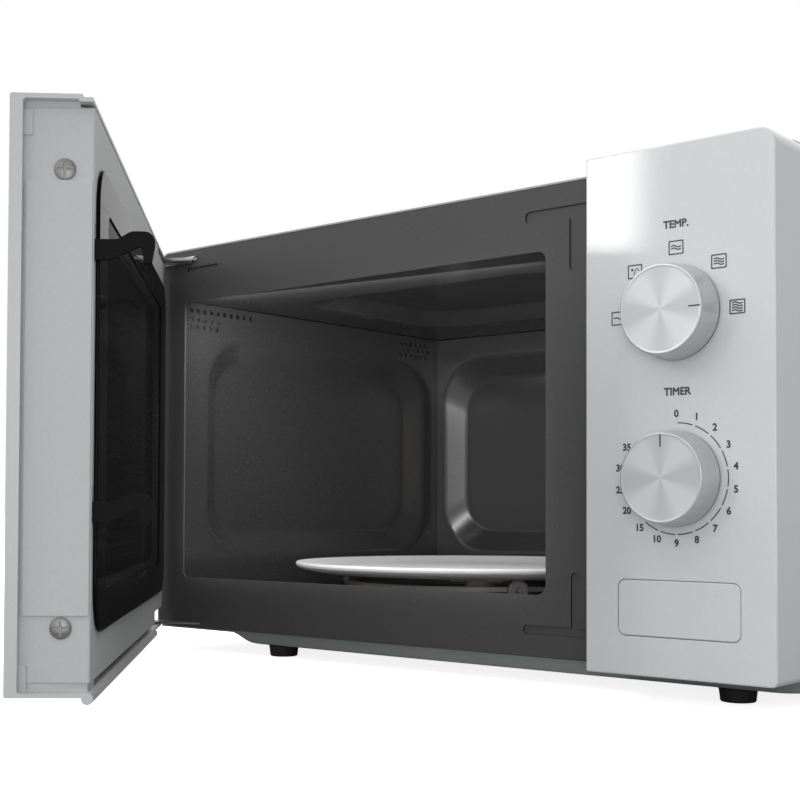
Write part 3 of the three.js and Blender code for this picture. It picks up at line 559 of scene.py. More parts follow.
def new_group(name, inputs):
    """An empty node group: its own inputs, each a label and a kind, and the outputs all effects have."""
    group = bpy.data.node_groups.new(name, "ShaderNodeTree")
    for direction, sockets in (("INPUT", inputs), ("OUTPUT", OUTPUTS)):
        for label, kind in sockets:
            group.interface.new_socket(name=label, in_out=direction, socket_type=kind)
    start = group.nodes.new("NodeGroupInput")
    end = group.nodes.new("NodeGroupOutput")
    return group, start, end


def give(group, end, colour, roughness, height):
    """Joins an effect's three results to its outputs."""
    for (label, _), result in zip(OUTPUTS, (colour, roughness, height)):
        group.links.new(result, end.inputs[label])
    return group


def noise(tree, scale, detail=3.0, stretch=None):
    """Noise on the piece's own coordinates, stretched along an axis for brushed or rolled sheet."""
    coordinates = tree.nodes.new("ShaderNodeTexCoord")
    node = tree.nodes.new("ShaderNodeTexNoise")
    node.inputs["Detail"].default_value = detail
    vector = coordinates.outputs["Object"]
    if stretch:
        mapping = tree.nodes.new("ShaderNodeMapping")
        mapping.inputs["Scale"].default_value = stretch
        tree.links.new(vector, mapping.inputs["Vector"])
        vector = mapping.outputs["Vector"]
    tree.links.new(vector, node.inputs["Vector"])
    if isinstance(scale, (int, float)):
        node.inputs["Scale"].default_value = scale
    else:
        tree.links.new(scale, node.inputs["Scale"])
    return node.outputs["Fac"]


def mixed(tree, factor, first, second):
    node = tree.nodes.new("ShaderNodeMix")
    node.data_type = "RGBA"
    tree.links.new(factor, node.inputs["Factor"])
    for socket, value in ((node.inputs["A"], first), (node.inputs["B"], second)):
        if isinstance(value, tuple):
            socket.default_value = value
        else:
            tree.links.new(value, socket)
    return node.outputs["Result"]


def moulded_group():
    """Moulded plastic and paint: fine grain, broad unevenness and a soft orange peel."""
    inputs = [("Light", COLOUR), ("Dark", COLOUR)]
    inputs += [("Grain Scale", FLOAT), ("Gloss", FLOAT), ("Smudge", FLOAT)]
    group, start, end = new_group("moulded_surface", inputs)
    grain = noise(group, start.outputs["Grain Scale"], 4.0)
    broad = noise(group, 9.0, 2.0)
    blend = math_node(group, "MULTIPLY_ADD", grain, 0.55, math_node(group, "MULTIPLY", broad, 0.45))
    tone = fade(group, blend, 0.3, 0.7)
    colour = mixed(group, tone, start.outputs["Dark"], start.outputs["Light"])
    centred = math_node(group, "MULTIPLY_ADD", blend, 2.0, -1.0)
    roughness = math_node(group, "MULTIPLY_ADD", centred, start.outputs["Smudge"], start.outputs["Gloss"])
    return give(group, end, colour, roughness, grain)


def enamel_group():
    """Speckled enamel: tiny pale flecks and pits in a dark coat."""
    inputs = [("Base", COLOUR), ("Fleck", COLOUR), ("Gloss", FLOAT)]
    group, start, end = new_group("speckled_enamel", inputs)
    coordinates = group.nodes.new("ShaderNodeTexCoord")
    flecks = group.nodes.new("ShaderNodeTexVoronoi")
    flecks.inputs["Scale"].default_value = 620.0
    group.links.new(coordinates.outputs["Object"], flecks.inputs["Vector"])
    spot = math_node(group, "SUBTRACT", 1.0, fade(group, flecks.outputs["Distance"], 0.12, 0.3))
    some = fade(group, flecks.outputs["Color"], 0.45, 0.9)
    spot = math_node(group, "MULTIPLY", spot, some)
    broad = noise(group, 14.0, 3.0)
    grain = noise(group, 1400.0, 2.0)
    tone = math_node(group, "MULTIPLY", spot, math_node(group, "MULTIPLY_ADD", grain, 0.8, 0.2))
    colour = mixed(group, tone, start.outputs["Base"], start.outputs["Fleck"])
    uneven = math_node(group, "MULTIPLY_ADD", broad, 0.16, -0.08)
    roughness = math_node(group, "ADD", start.outputs["Gloss"], uneven)
    height = math_node(group, "ADD", grain, math_node(group, "MULTIPLY", spot, 0.5))
    return give(group, end, colour, roughness, height)


def metal_group():
    """Rolled or plated sheet: long fine lines one way and soft cloudiness."""
    inputs = [("Light", COLOUR), ("Dark", COLOUR), ("Gloss", FLOAT)]
    group, start, end = new_group("rolled_metal", inputs)
    lines = noise(group, 60.0, 5.0, (1.0, 1.0, 22.0))
    cloud = noise(group, 45.0, 4.0)
    half_cloud = math_node(group, "MULTIPLY", cloud, 0.5)
    tone = fade(group, math_node(group, "MULTIPLY_ADD", lines, 0.5, half_cloud), 0.3, 0.7)
    colour = mixed(group, tone, start.outputs["Dark"], start.outputs["Light"])
    uneven = math_node(group, "MULTIPLY_ADD", cloud, 0.24, -0.12)
    roughness = math_node(group, "ADD", start.outputs["Gloss"], uneven)
    return give(group, end, colour, roughness, lines)


MOULDED = moulded_group()
ENAMEL = enamel_group()
METAL = metal_group()


def grey(level, warm=0.0):
    return (level + warm, level, level - warm, 1)


def surface(name, group, values, bump=0.1, distance=0.0002, **sockets):
    """A material of one shared effect: its colour, roughness and height on a Principled shader."""
    material = bpy.data.materials.new(name)
    material.use_nodes = True
    tree = material.node_tree
    shader = tree.nodes["Principled BSDF"]
    effect = tree.nodes.new("ShaderNodeGroup")
    effect.node_tree = group
    for label, value in values.items():
        effect.inputs[label].default_value = value
    raised = tree.nodes.new("ShaderNodeBump")
    raised.inputs["Strength"].default_value = bump
    raised.inputs["Distance"].default_value = distance
    links(
        tree,
        (effect.outputs["Color"], shader.inputs["Base Color"]),
        (effect.outputs["Roughness"], shader.inputs["Roughness"]),
        (effect.outputs["Height"], raised.inputs["Height"]),
        (raised.outputs["Normal"], shader.inputs["Normal"]),
    )
    for label, value in sockets.items():
        shader.inputs[label.replace("_", " ")].default_value = value
    return material


def moulded(name, light, dark, gloss, grain=900.0, smudge=0.1, **sockets):
    values = {"Light": light, "Dark": dark, "Grain Scale": grain, "Gloss": gloss, "Smudge": smudge}
    return surface(name, MOULDED, values, **sockets)


def rolled(name, light, dark, gloss, **sockets):
    values = {"Light": light, "Dark": dark, "Gloss": gloss}
    return surface(name, METAL, values, Metallic=1.0, **sockets)


def spun_face(name, height):
    """A dial's face turned on a lathe: fine rings, and painted spokes of reflected light and shade round its
    axis.
    """
    material = bpy.data.materials.new(name)
    material.use_nodes = True
    tree = material.node_tree
    shader = tree.nodes["Principled BSDF"]
    shader.inputs["Metallic"].default_value = 0.3
    coordinates = tree.nodes.new("ShaderNodeTexCoord")
    mapping = tree.nodes.new("ShaderNodeMapping")
    turn = Matrix.Rotation(math.pi / 2, 3, "X")
    mapping.inputs["Rotation"].default_value = turn.to_euler()
    mapping.inputs["Location"].default_value = -(turn @ at(DIAL_X, 0, height))
    angle = tree.nodes.new("ShaderNodeTexGradient")
    angle.gradient_type = "RADIAL"
    rings = tree.nodes.new("ShaderNodeTexWave")
    rings.wave_type = "RINGS"
    rings.rings_direction = "Z"
    rings.inputs["Scale"].default_value = 420.0
    rings.inputs["Distortion"].default_value = 0.6
    links(
        tree,
        (coordinates.outputs["Object"], mapping.inputs["Vector"]),
        (mapping.outputs["Vector"], angle.inputs["Vector"]),
        (mapping.outputs["Vector"], rings.inputs["Vector"]),
    )
    around = angle.outputs["Fac"]
    # Painted reflection: lighter and darker wedges round the axis, lopsided to one side, put into the base
    # colour.
    spokes = math_node(tree, "COSINE", math_node(tree, "MULTIPLY_ADD", around, 8 * math.pi, 0.25))
    painted_lopsided_sheen = math_node(tree, "COSINE", math_node(tree, "MULTIPLY_ADD", around, 4 * math.pi, 0.4))
    painted_sheen = math_node(tree, "MULTIPLY_ADD", painted_lopsided_sheen, 0.35, spokes)
    shade = fade(tree, painted_sheen, -0.9, 1.35)
    tone = math_node(tree, "MULTIPLY_ADD", rings.outputs["Fac"], 0.08, shade)
    colour = mixed(tree, tone, (0.64, 0.65, 0.665, 1), (0.5, 0.507, 0.52, 1))
    roughness = math_node(tree, "MULTIPLY_ADD", rings.outputs["Fac"], 0.06, 0.34)
    links(tree, (colour, shader.inputs["Base Color"]), (roughness, shader.inputs["Roughness"]))
    return material


def glass(name, tint, transmission, grain, bend=1.5):
    """Glass with faint smears: its colour and roughness vary, its transmission doesn't."""
    duller = tuple(channel * 0.93 for channel in tint[:3]) + (1,)
    values = {"Light": tint, "Dark": duller, "Grain Scale": grain, "Gloss": 0.05, "Smudge": 0.03}
    material = surface(name, MOULDED, values, bump=0.02, distance=0.0001)
    shader = material.node_tree.nodes["Principled BSDF"]
    shader.inputs["Transmission Weight"].default_value = transmission
    shader.inputs["IOR"].default_value = bend
    return material


def make_finishes():
    """Every finish of the oven, by name."""
    enamel_values = {"Base": grey(0.04), "Fleck": grey(0.13), "Gloss": 0.2}
    # The front plate's enamel is a lighter copy of the cavity's: partly its own tone, partly painted light on
    # a plate that the open door shades.
    plate_values = {"Base": grey(0.088), "Fleck": grey(0.18), "Gloss": 0.36}
    faint_shine = {"IOR": 1.13, "Specular_IOR_Level": 0.2}
    made = [
        moulded("silver_plastic", grey(0.66, -0.01), grey(0.63, -0.01), 0.06, smudge=0.015, bump=0.008),
        moulded("door_plastic", grey(0.56, -0.006), grey(0.52, -0.006), 0.34, bump=0.04),
        moulded("silver_paint", grey(0.37, -0.006), grey(0.33, -0.006), 0.4, 700.0, bump=0.12),
        moulded("grey_paint", (0.28, 0.31, 0.3, 1), (0.25, 0.277, 0.268, 1), 0.48, 600.0, bump=0.15),
        surface("dark_enamel", ENAMEL, enamel_values, bump=0.05),
        surface("plate_enamel", ENAMEL, plate_values, bump=0.08, Specular_IOR_Level=0.05),
        moulded("groove_shade", grey(0.014), grey(0.01), 0.5, 800.0, Specular_IOR_Level=0.2),
        moulded("pan_paint", grey(0.55, -0.006), grey(0.51, -0.006), 0.55, Specular_IOR_Level=0.1),
        moulded("black_plastic", grey(0.006), grey(0.004), 0.5, 800.0, bump=0.1, Specular_IOR_Level=0.08),
        moulded("cover_black", grey(0.006), grey(0.004), 0.03, 500.0, 0.01, bump=0.004, **faint_shine),
        moulded("rubber", grey(0.02), grey(0.012), 0.7, 1500.0, bump=0.3),
        moulded("ring_plastic", grey(0.3, 0.02), grey(0.24, 0.02), 0.35, bump=0.05),
        moulded("inner_plastic", (0.78, 0.77, 0.72, 1), (0.72, 0.71, 0.66, 1), 0.45, bump=0.05),
        # Dark ink for the print, also used as painted shadow at the foot of each dial.
        moulded("print_ink_and_painted_gap_shadow", grey(0.045), grey(0.03), 0.5, 1500.0, bump=0.05),
        moulded("spun_side", grey(0.6, -0.006), grey(0.54, -0.006), 0.3, 1200.0, Metallic=0.55),
        rolled("zinc_steel", (0.56, 0.56, 0.55, 1), (0.42, 0.42, 0.41, 1), 0.36),
        rolled("screw_steel", (0.3, 0.3, 0.29, 1), (0.22, 0.22, 0.215, 1), 0.45),
        rolled("raw_steel", (0.46, 0.47, 0.48, 1), (0.34, 0.35, 0.36, 1), 0.4),
        moulded("mesh_steel", grey(0.02), grey(0.012), 0.5, 1200.0, Specular_IOR_Level=0.2),
        rolled("copper", (0.72, 0.33, 0.15, 1), (0.5, 0.2, 0.08, 1), 0.4),
        moulded("board", (0.04, 0.17, 0.09, 1), (0.03, 0.12, 0.06, 1), 0.5, 500.0, bump=0.1),
        moulded("mica", (0.52, 0.46, 0.35, 1), (0.42, 0.36, 0.27, 1), 0.4, 260.0, bump=0.2),
        glass("clear_glass", (0.93, 0.95, 0.94, 1), 0.85, 300.0),
        moulded("tray_glass", grey(0.93), grey(0.84), 0.4, 260.0, Transmission_Weight=0.12, IOR=1.3),
        glass("film", (0.3, 0.3, 0.3, 1), 0.97, 200.0, 1.02),
        glass("tinted_glass", (0.012, 0.012, 0.014, 1), 0.3, 200.0),
    ]
    # A finish whose name the frame already uses is renamed with a dot and a number.
    return {material.name.partition(".")[0]: material for material in made}


add_camera()
add_world()
add_area("mouth_light", at(168, 28, 122), at(168, 200, 118), (0.27, 0.17), 0.15)
add_area("roof_strip", at(168, 48, 208), at(150, 210, 60), (0.24, 0.012), 0.3)
add_area("fill", at(1000, -1000, 150), at(170, 100, 110), (0.35, 0.45), 3)
add_floor()
FINISHES = make_finishes()

CAD_FINISHES = {
    "black_plastic": ["cord_inlet", "thermal_cutout", "hv_diode"],
    "dark_enamel": ["cavity_right_wall"],
    "mica": ["waveguide_cover"],
    "raw_steel": ["waveguide", "magnetron", "fan_motor", "transformer_core"],
    "inner_plastic": ["fan_shroud", "fan_blade", "timer_unit", "latch_board", "release_lever"],
    "copper": ["transformer_winding"],
    "board": ["filter_board"],
    "clear_glass": ["cavity_lamp"],
    "zinc_steel": ["capacitor", "turntable_motor", "timer_shaft", "power_shaft", "latch_spring"],
}
CAD_FINISHES["black_plastic"] += [f"door_switch_{level}" for level in ("upper", "middle", "lower")]
CAD_FINISHES["inner_plastic"] += ["drive_coupler"]
CAD_FINISHES["zinc_steel"] += ["upper_hinge_pin", "lower_hinge_pin"]
for finish, nodes in CAD_FINISHES.items():
    for node in nodes:
        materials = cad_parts[node].data.materials
        materials.clear()
        materials.append(FINISHES[finish])


# ---- Control panel ----


def control_panel():
    """One moulding, open at the back, with round front edges and an opening for the release button."""
    y = (0, PANEL_DEPTH)
    wall = 2.2
    edge = FRONT_WIDTH
    panel = block("panel_moulding", (PANEL_LEFT, edge), y, (0, FRONT_HEIGHT))
    round_edges(panel, edge_at("y", x=edge, z=FRONT_HEIGHT), 8, 8)
    round_edges(panel, edge_at("y", x=edge, z=0), 3, 6)
    round_edges(panel, edge_at("y", x=PANEL_LEFT), 0.8, 2)
    round_edges(panel, edge_at(None, y=0), 0.9, 4)
    hollow_x, hollow_z = (PANEL_LEFT + wall, edge - wall), (wall, FRONT_HEIGHT - wall)
    inside = block("inside", hollow_x, (wall, PANEL_DEPTH + 4), hollow_z)
    round_edges(inside, edge_at("y", x=edge - wall), 3, 4)
    cut(panel, inside)
    opening = plate("opening", "y", [rounded(*BUTTON, 4, 8)], (-2, 6))
    holes = [rod("hole", "y", (DIAL_X, z), (-2, 6), 4) for z in DIALS.values()]
    cut(panel, opening, *holes)
    smooth(panel)
    fit(panel, "cabinet", "silver_plastic", "silver_plastic", "control_panel")


def release_button():
    """The wide button under the dials, a hair inside its opening, with its flange and push arm."""
    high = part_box("release_button")[1]
    seam = 0.4
    outline = rounded(grown(BUTTON[0], -seam), grown(BUTTON[1], -seam), 3.6, 8)
    key = plate("button_key", "y", [outline], (0, 4.2), 0.35)
    flange = block("flange", grown(BUTTON[0], 2), (2.6, 4.1), grown(BUTTON[1], 2))
    arm = block("arm", (DIAL_X - 6, DIAL_X + 6), (3.2, on_axes(high).y), (28, 36))
    weld(key, flange, arm)
    smooth(key)
    fit(key, "release_button", "silver_plastic", "silver_plastic", "release_button")


def letters(text, place, size):
    """Lettering as a thin print on the panel's face, centred on its place."""
    bpy.ops.object.select_all(action="DESELECT")
    bpy.ops.object.text_add(location=(0, 0, 0))
    words = bpy.context.active_object
    words.data.body = text
    words.data.size = size * MM
    words.data.align_x = "CENTER"
    words.data.align_y = "CENTER"
    words.data.bevel_depth = 0.19 * MM
    words.data.bevel_resolution = 1
    words.data.resolution_u = 3
    bpy.ops.object.convert(target="MESH")
    words = bpy.context.active_object
    edit(words)
    bpy.ops.mesh.select_all(action="SELECT")
    bpy.ops.mesh.remove_doubles(threshold=0.000002)
    done()
    words.location = at(place[0], -0.03, place[1])
    words.rotation_euler = (math.pi / 2, 0, 0)
    words.scale = (1, 1, 0.2)
    settle()
    return words


def clock_point(centre, radius, degrees):
    """A point round a dial, its angle clockwise from the top."""
    turn = math.radians(degrees)
    return (centre[0] + radius * math.sin(turn), centre[1] + radius * math.cos(turn))


def stroke(points, width):
    return plate("stroke", "y", [ribbon(points, width)], PRINT)


def wavy(centre, width, rise):
    steps = 12
    start = centre[0] - width / 2
    return [
        (start + width * i / steps, centre[1] + rise * math.sin(2 * math.pi * i / steps))
        for i in range(steps + 1)
    ]


def power_icon(centre, level):
    """A framed power mark: more waves for more power, or a drop and a flake line for thawing."""
    u, v = centre
    thickness = 0.62
    across, upright = grown((u, u), 3.8), grown((v, v), 3.3)
    outer = rounded(across, upright, 0.5, 3)
    inner = rounded(grown(across, -thickness), grown(upright, -thickness), 0.3, 3)
    marks = [plate("frame", "y", [outer, inner], PRINT)]
    if level == 0:
        marks.append(rod("drop", "y", (u - 1.4, v + 0.9), PRINT, 0.65, 16))
        flake = [(u - 0.6, v - 1.6), (u + 0.1, v + 0.4), (u + 1.0, v + 1.4), (u + 2.2, v + 0.2)]
        marks.append(stroke(flake, 0.5))
        return marks
    spread = 1.15
    for i in range(level):
        height = v + (i - (level - 1) / 2) * spread
        marks.append(stroke(wavy((u, height), 5.0, 0.4), thickness))
    return marks


def panel_print():
    """The lettering, figures and power marks round the two dials."""
    timer = (DIAL_X, DIALS["timer"])
    power = (DIAL_X, DIALS["power"])
    marks = [letters("TEMP.", (DIAL_X, 208.3), 4.9), letters("TIMER", (DIAL_X + 0.5, 131.2), 4.9)]
    figures = [str(n) for n in range(11)] + ["15", "20", "25", "30", "35"]
    for i, figure in enumerate(figures):
        marks.append(letters(figure, clock_point(timer, 29.6, 20 * i), 4.5))
    for i in range(11):
        turns = [20 * i + 1.5 + 17 * step / 8 for step in range(9)]
        marks.append(stroke([clock_point(timer, 25.5, turn) for turn in turns], 0.55))
    for turn, level in ((-90, 1), (-45, 0), (0, 2), (45, 3), (90, 4)):
        marks += power_icon(clock_point(power, 30, turn), level)
    printed = joined("panel_print", marks)
    fit(printed, "cabinet", "black_plastic", "print_ink_and_painted_gap_shadow")


def dial(label, height, pointer_turn):
    """A dial: a tapered skirt, a bright rolled edge, a lathe-turned face and its pointer line."""
    turns = (0, 0.4, 0.8, 1.2, math.pi / 2)
    edge = [(20.55 - 0.55 * (1 - math.cos(t)), 14.2 + 0.8 * math.sin(t)) for t in turns]
    outline = [(0, 8), (18.2, 8), (19.6, 0.9), (19.9, 0.2), (20.4, 0), (21.6, 0), (21.95, 0.35), (22, 1)]
    outline += [(21.7, 4), (21.3, 8), (20.9, 11.5)] + edge + [(19.3, 15), (18.9, 14.8), (10, 14.8), (0, 14.8)]
    knob = turned(f"{label}_dial_body", outline, (DIAL_X, -0.4, height), "y", 96)
    fit(knob, f"{label}_dial", "spun_metal", "spun_side", f"{label}_knob")
    knob.data.materials.append(spun_face(f"spun_{label}", height))
    knob.data.materials.append(FINISHES["print_ink_and_painted_gap_shadow"])
    # The face's polygons take the spun face; the skirt's foot by the panel takes the dark ink as a painted
    # shadow in the gap.
    for polygon in knob.data.polygons:
        middle = on_axes(polygon.center)
        reach = math.hypot(middle.x - DIAL_X, middle.z - height)
        if middle.y < -14.9 and reach < 19.4:
            polygon.material_index = 1
        elif middle.y > -1.3:
            polygon.material_index = 2
    line = [clock_point((DIAL_X, height), radius, pointer_turn) for radius in (14.0, 19.8)]
    pointer = plate(f"{label}_pointer", "y", [ribbon(line, 0.55)], (-15.45, -15.1))
    fit(pointer, f"{label}_dial", "black_plastic", "print_ink_and_painted_gap_shadow")


# ---- Casing ----


def outer_wrap():
    """One sheet folded over the cabinet, with air slots in its right side."""
    left, right = CABINET
    steps = 10
    outside = rounded((left, right), (1.5, CABINET_TOP), (0.01, 0.01, 8, 8), steps)
    inside = rounded((left + SHEET, right - SHEET), (1.5, CABINET_TOP - SHEET), (0.01, 0.01, 7, 7), steps)
    quarter = steps + 1
    outer_path = outside[quarter:] + outside[:quarter]
    inner_path = inside[quarter:] + inside[:quarter]
    wrap = plate("cabinet_wrap", "y", [outer_path + inner_path[::-1]], (35.7, CABINET_BACK))
    slots = []
    for i in range(10):
        y = CABINET_BACK - 40 - 9 * i
        slots.append(plate("slot", "x", [rounded((y, y + 3.5), (170, 208), 1.7, 4)], (right - 4, right + 3)))
    cut(wrap, *slots)
    soften(wrap, 0.25)
    fit(wrap, "cabinet", "silver_paint", "silver_paint", "outer_wrap")


def base_pan():
    """The bottom pressing: a flat rim and a dropped floor with long round slopes and air slots."""
    x, y = (4.4, 448.6), (37.6, 338.6)
    rings = [(rounded(x, y, 1, 8), -0.5), (rounded((60, 447.8), (38.2, 332), 12, 8), -0.5)]
    steps = 8
    for i in range(steps + 1):
        share = i / steps
        eased = share * share * (3 - 2 * share)
        span_x = (61 + 20 * share, 447.4 - 3 * share)
        span_y = (38.6 + 3 * share, 330.6 - 9 * share)
        rings.append((rounded(span_x, span_y, 13, 8), -0.5 - 6.4 * eased))
    pan = stepped("base_pressing", "z", rings)
    apply_modifier(pan, "SOLIDIFY", thickness=SHEET * MM, offset=0)
    slots = []
    for i in range(12):
        left = 330 + 8 * i
        slots.append(plate("slot", "z", [rounded((left, left + 3.4), (120, 160), 1.6, 4)], (-12, 2)))
    cut(pan, *slots)
    smooth(pan, 30)
    fit(pan, "cabinet", "grey_paint", "grey_paint", "base_pan")


def foot(node):
    """A rubber foot: a short tapered plug with a rounded sole and a fixing hollow."""
    low, high = (on_axes(corner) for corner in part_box(node))
    middle = (low + high) / 2
    height = high.z - low.z
    sole = [(7.6 + 0.9 * math.sin(t), 0.9 - 0.9 * math.cos(t)) for t in (0, 0.5, 1.0, math.pi / 2)]
    outline = [(0, 1.4), (2.6, 1.4), (3.1, 0)] + sole
    outline += [(9.1, height - 1.0), (9.4, height - 0.4), (9.2, height), (0, height)]
    rubber = turned(f"{node}_rubber", outline, (middle.x, middle.y, low.z), "z", 48)
    fit(rubber, "cabinet", "rubber", "rubber", node)


def rear_panel():
    """The back sheet with air slots and the hole for the cord inlet."""
    x, z = (4.4, 448.6), (0.4, 246.6)
    panel = plate("rear_sheet", "y", [rounded(x, z, (0.6, 0.6, 8, 8), 8)], (337.9, 339.0))
    inlet_low, inlet_high = (on_axes(corner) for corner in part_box("cord_inlet"))
    inlet = (inlet_low + inlet_high) / 2
    tools = [rod("hole", "y", (inlet.x, inlet.z), (330, 345), 7.4)]
    for i in range(9):
        level = 206 - 9 * i
        tools.append(plate("slot", "y", [rounded((335.5, 425), (level, level + 4), 1.9, 4)], (334, 343)))
    cut(panel, *tools)
    soften(panel, 0.2)
    fit(panel, "cabinet", "silver_paint", "silver_paint", "rear_panel")


def cross_screw(name, radius, depth):
    """A pan-head screw with a cross recess, head towards +Z, its seat at the origin."""
    dome = [(radius * math.cos(t), depth * math.sin(t)) for t in (0, 0.35, 0.7, 1.1, math.pi / 2)]
    head = turned(name, [(0, 0)] + dome, (0, 0, 0), "z", 40)
    for turn in (0, math.pi / 2):
        bpy.ops.object.select_all(action="DESELECT")
        bpy.ops.mesh.primitive_cube_add(size=1, location=at(0, 0, depth))
        slot = bpy.context.active_object
        slot.rotation_euler = (0, 0, turn)
        slot.scale = (radius * 1.35 * MM, 0.75 * MM, depth * 1.3 * MM)
        settle()
        cut(head, slot)
    return soften(head, 0.08)


def set_screw(head, name, place, facing):
    """A copy of a screw head, moved to its place and turned to face along an axis."""
    piece = placed(name, head.data.copy())
    turn = Vector((0, 0, 1)).rotation_difference(Vector(facing)).to_matrix().to_4x4()
    only(piece)
    piece.matrix_world = Matrix.Translation(at(*place)) @ turn @ Matrix.Translation(-ORIGIN)
    settle()
    return piece


# ---- Front plate and cavity ----


def front_plate():
    """The enamelled plate round the cavity's mouth, with pressed beads beside the control panel."""
    x, z = (4.1, 448.9), (0.4, 246.9)
    outline = rounded(x, z, (0.6, 0.6, 7, 7), 8)
    mouth = rounded(*MOUTH, (4, 6, 5, 2), 8)
    bay = rounded((362, 441), (10.4, 236), 2, 4)
    slots = [rounded((340.6, 352.4), (root - 8, root + 22), 1, 4) for root in HOOK_ROOTS]
    face = plate("front_plate_sheet", "y", [outline, mouth, bay, *slots], PLATE)
    front = PLATE[0]
    groove = (front - 1, front + 1.0)
    cross_groove = (front - 1.2, front + 0.95)
    beads = [
        plate("bead", "y", [rounded((296.5, 349), (228.3, 234.8), 3.2, 6)], groove),
        plate("bead", "y", [rounded((324, 330), (200.4, 232), 2.9, 6)], cross_groove),
        plate("bead", "y", [rounded((295.5, 349), (11.9, 16.6), 2.3, 6)], groove),
        plate("bead", "y", [rounded((325, 330.4), (13, 45), 2.6, 6)], cross_groove),
        plate("bead", "y", [rounded((30, 59), (232.6, 235.4), 1.3, 6)], groove),
    ]
    cut(face, *beads)
    soften(face, 0.45, 3)
    fit(face, "cabinet", "dark_enamel", "plate_enamel", "front_plate")
    face.data.materials.append(FINISHES["groove_shade"])
    # The walls of the pressed beads take a near-black finish: painted shade in the grooves.
    for polygon in face.data.polygons:
        spot = on_axes(polygon.center)
        beside_mouth = 290 < spot.x < 352 and (spot.z < 46 or spot.z > 199)
        on_bead = beside_mouth or (29 < spot.x < 60 and spot.z > 231)
        if on_bead and spot.y < front + 1.05 and abs(polygon.normal.y) < 0.9:
            polygon.material_index = 1


def vent_holes(axis, rows, radius, span):
    """Small round holes in rows, each row a height and its hole places."""
    holes = []
    for height, places in rows:
        for place in places:
            holes.append(rod("vent", axis, (place, height), span, radius, 12))
    return joined("vents", holes)


def wall(name, axis, a, b, face, side, panel):
    """A cavity wall of sheet steel with a broad panel pressed out of it: its spans, corner and slope."""
    rings = [(rounded(a, b, 0.05, 8), face)] + pressing(*panel, face, side)
    skin = stepped(name, axis, rings)
    apply_modifier(skin, "SOLIDIFY", thickness=SHEET * MM, offset=0)
    return skin


def cavity():
    """The enamelled oven cavity: pressed left side, back and roof, plain right side and a ringed floor."""
    across = grown(CAVITY_X, 1)
    deep = (CAVITY_Y[0], CAVITY_Y[1] + 1.4)
    left_panel = ((56, 292), (44, 194), 32, 19)
    back_panel = ((32, 305), (43, 200), 36, 20)
    roof_panel = ((66.5, 280.5), (92, 257), 30, 18)
    left_face, back_face, roof_face = CAVITY_X[0] - 0.5, CAVITY_Y[1] + 0.9, CAVITY_Z[1] + 0.9
    left = wall("cavity_left_pressing", "x", CAVITY_Y, CAVITY_Z, left_face, -1, left_panel)
    rows = [(198, [41.6 + 6.1 * i for i in range(5)]), (203, [42.6 + 6.1 * i for i in range(5)])]
    rows += [(208.7, [42.5 + 6.1 * i for i in range(10)])]
    rows += [(z, [262 + 6.1 * i + 3 * (n % 2) for i in range(6)]) for n, z in enumerate((199, 203.5, 208))]
    cut(left, vent_holes("x", rows, 1.7, grown((CAVITY_X[0], CAVITY_X[0]), 3)))
    back = wall("cavity_back_pressing", "y", across, CAVITY_Z, back_face, 1, back_panel)
    roof = wall("cavity_roof_pressing", "z", across, deep, roof_face, 1, roof_panel)
    floor = turntable_floor()
    nodes = {left: "cavity_left_wall", back: "cavity_back_wall", roof: "cavity_roof", floor: "cavity_floor"}
    for piece, node in nodes.items():
        smooth(piece, 30)
        fit(piece, "cabinet", "dark_enamel", "dark_enamel", node)


def turntable_floor():
    """The cavity's floor: a flat sheet with a shallow pressed track and the drive's hole."""
    z = (CAVITY_Z[0] - 1.4, CAVITY_Z[0] - 0.4)
    sheet = block("cavity_floor_pressing", grown(CAVITY_X, 1), (CAVITY_Y[0], CAVITY_Y[1] + 1.4), z)
    section = [(80, 0.6), (98, 0.6), (97, -0.45), (81, -0.45), (80, 0.6)]
    track = turned("track", section, (*TURNTABLE, z[1]), "z", 96)
    cut(sheet, rod("hole", "z", TURNTABLE, (z[0] - 3, z[1] + 3), 8), track)
    return soften(sheet, 0.2)


# ---- Turntable ----


def glass_tray():
    """The glass turntable: concentric steps and ridges inside a raised round rim."""
    r = TRAY_RADIUS
    under = [(0, 0), (14, 0), (15, 0.5), (38, 0.5), (39, 0)]
    under += [(62, 0), (63, 0.5), (84, 0.5), (85, 0), (r - 16, 0)]
    rim = [(r - 6, 2.0), (r - 2.4, 3.0), (r - 0.4, 4.4), (r, 5.6), (r - 0.3, 6.6)]
    rim += [(r - 1.1, 7.0), (r - 2.2, 6.9)]
    inner = [(r - 4.5, 6.1), (r - 8, 4.8), (r - 14, 3.2)]
    for ridge in (r - 18, r - 23, r - 28, r - 33):
        inner += [(ridge + 2, 3.0), (ridge + 1, 3.5), (ridge, 3.5), (ridge - 1, 3.0)]
    inner += [(84, 3.0), (83, 3.4), (64, 3.4), (63, 3.0)]
    centre = [(40, 3.0), (39, 3.4), (16, 3.4), (15, 3.0), (0, 3.0)]
    tray = turned("turntable_glass", under + rim + inner + centre, (*TURNTABLE, 36.0), "z", 128)
    fit(tray, "turntable", "clear_glass", "tray_glass", "glass_tray")


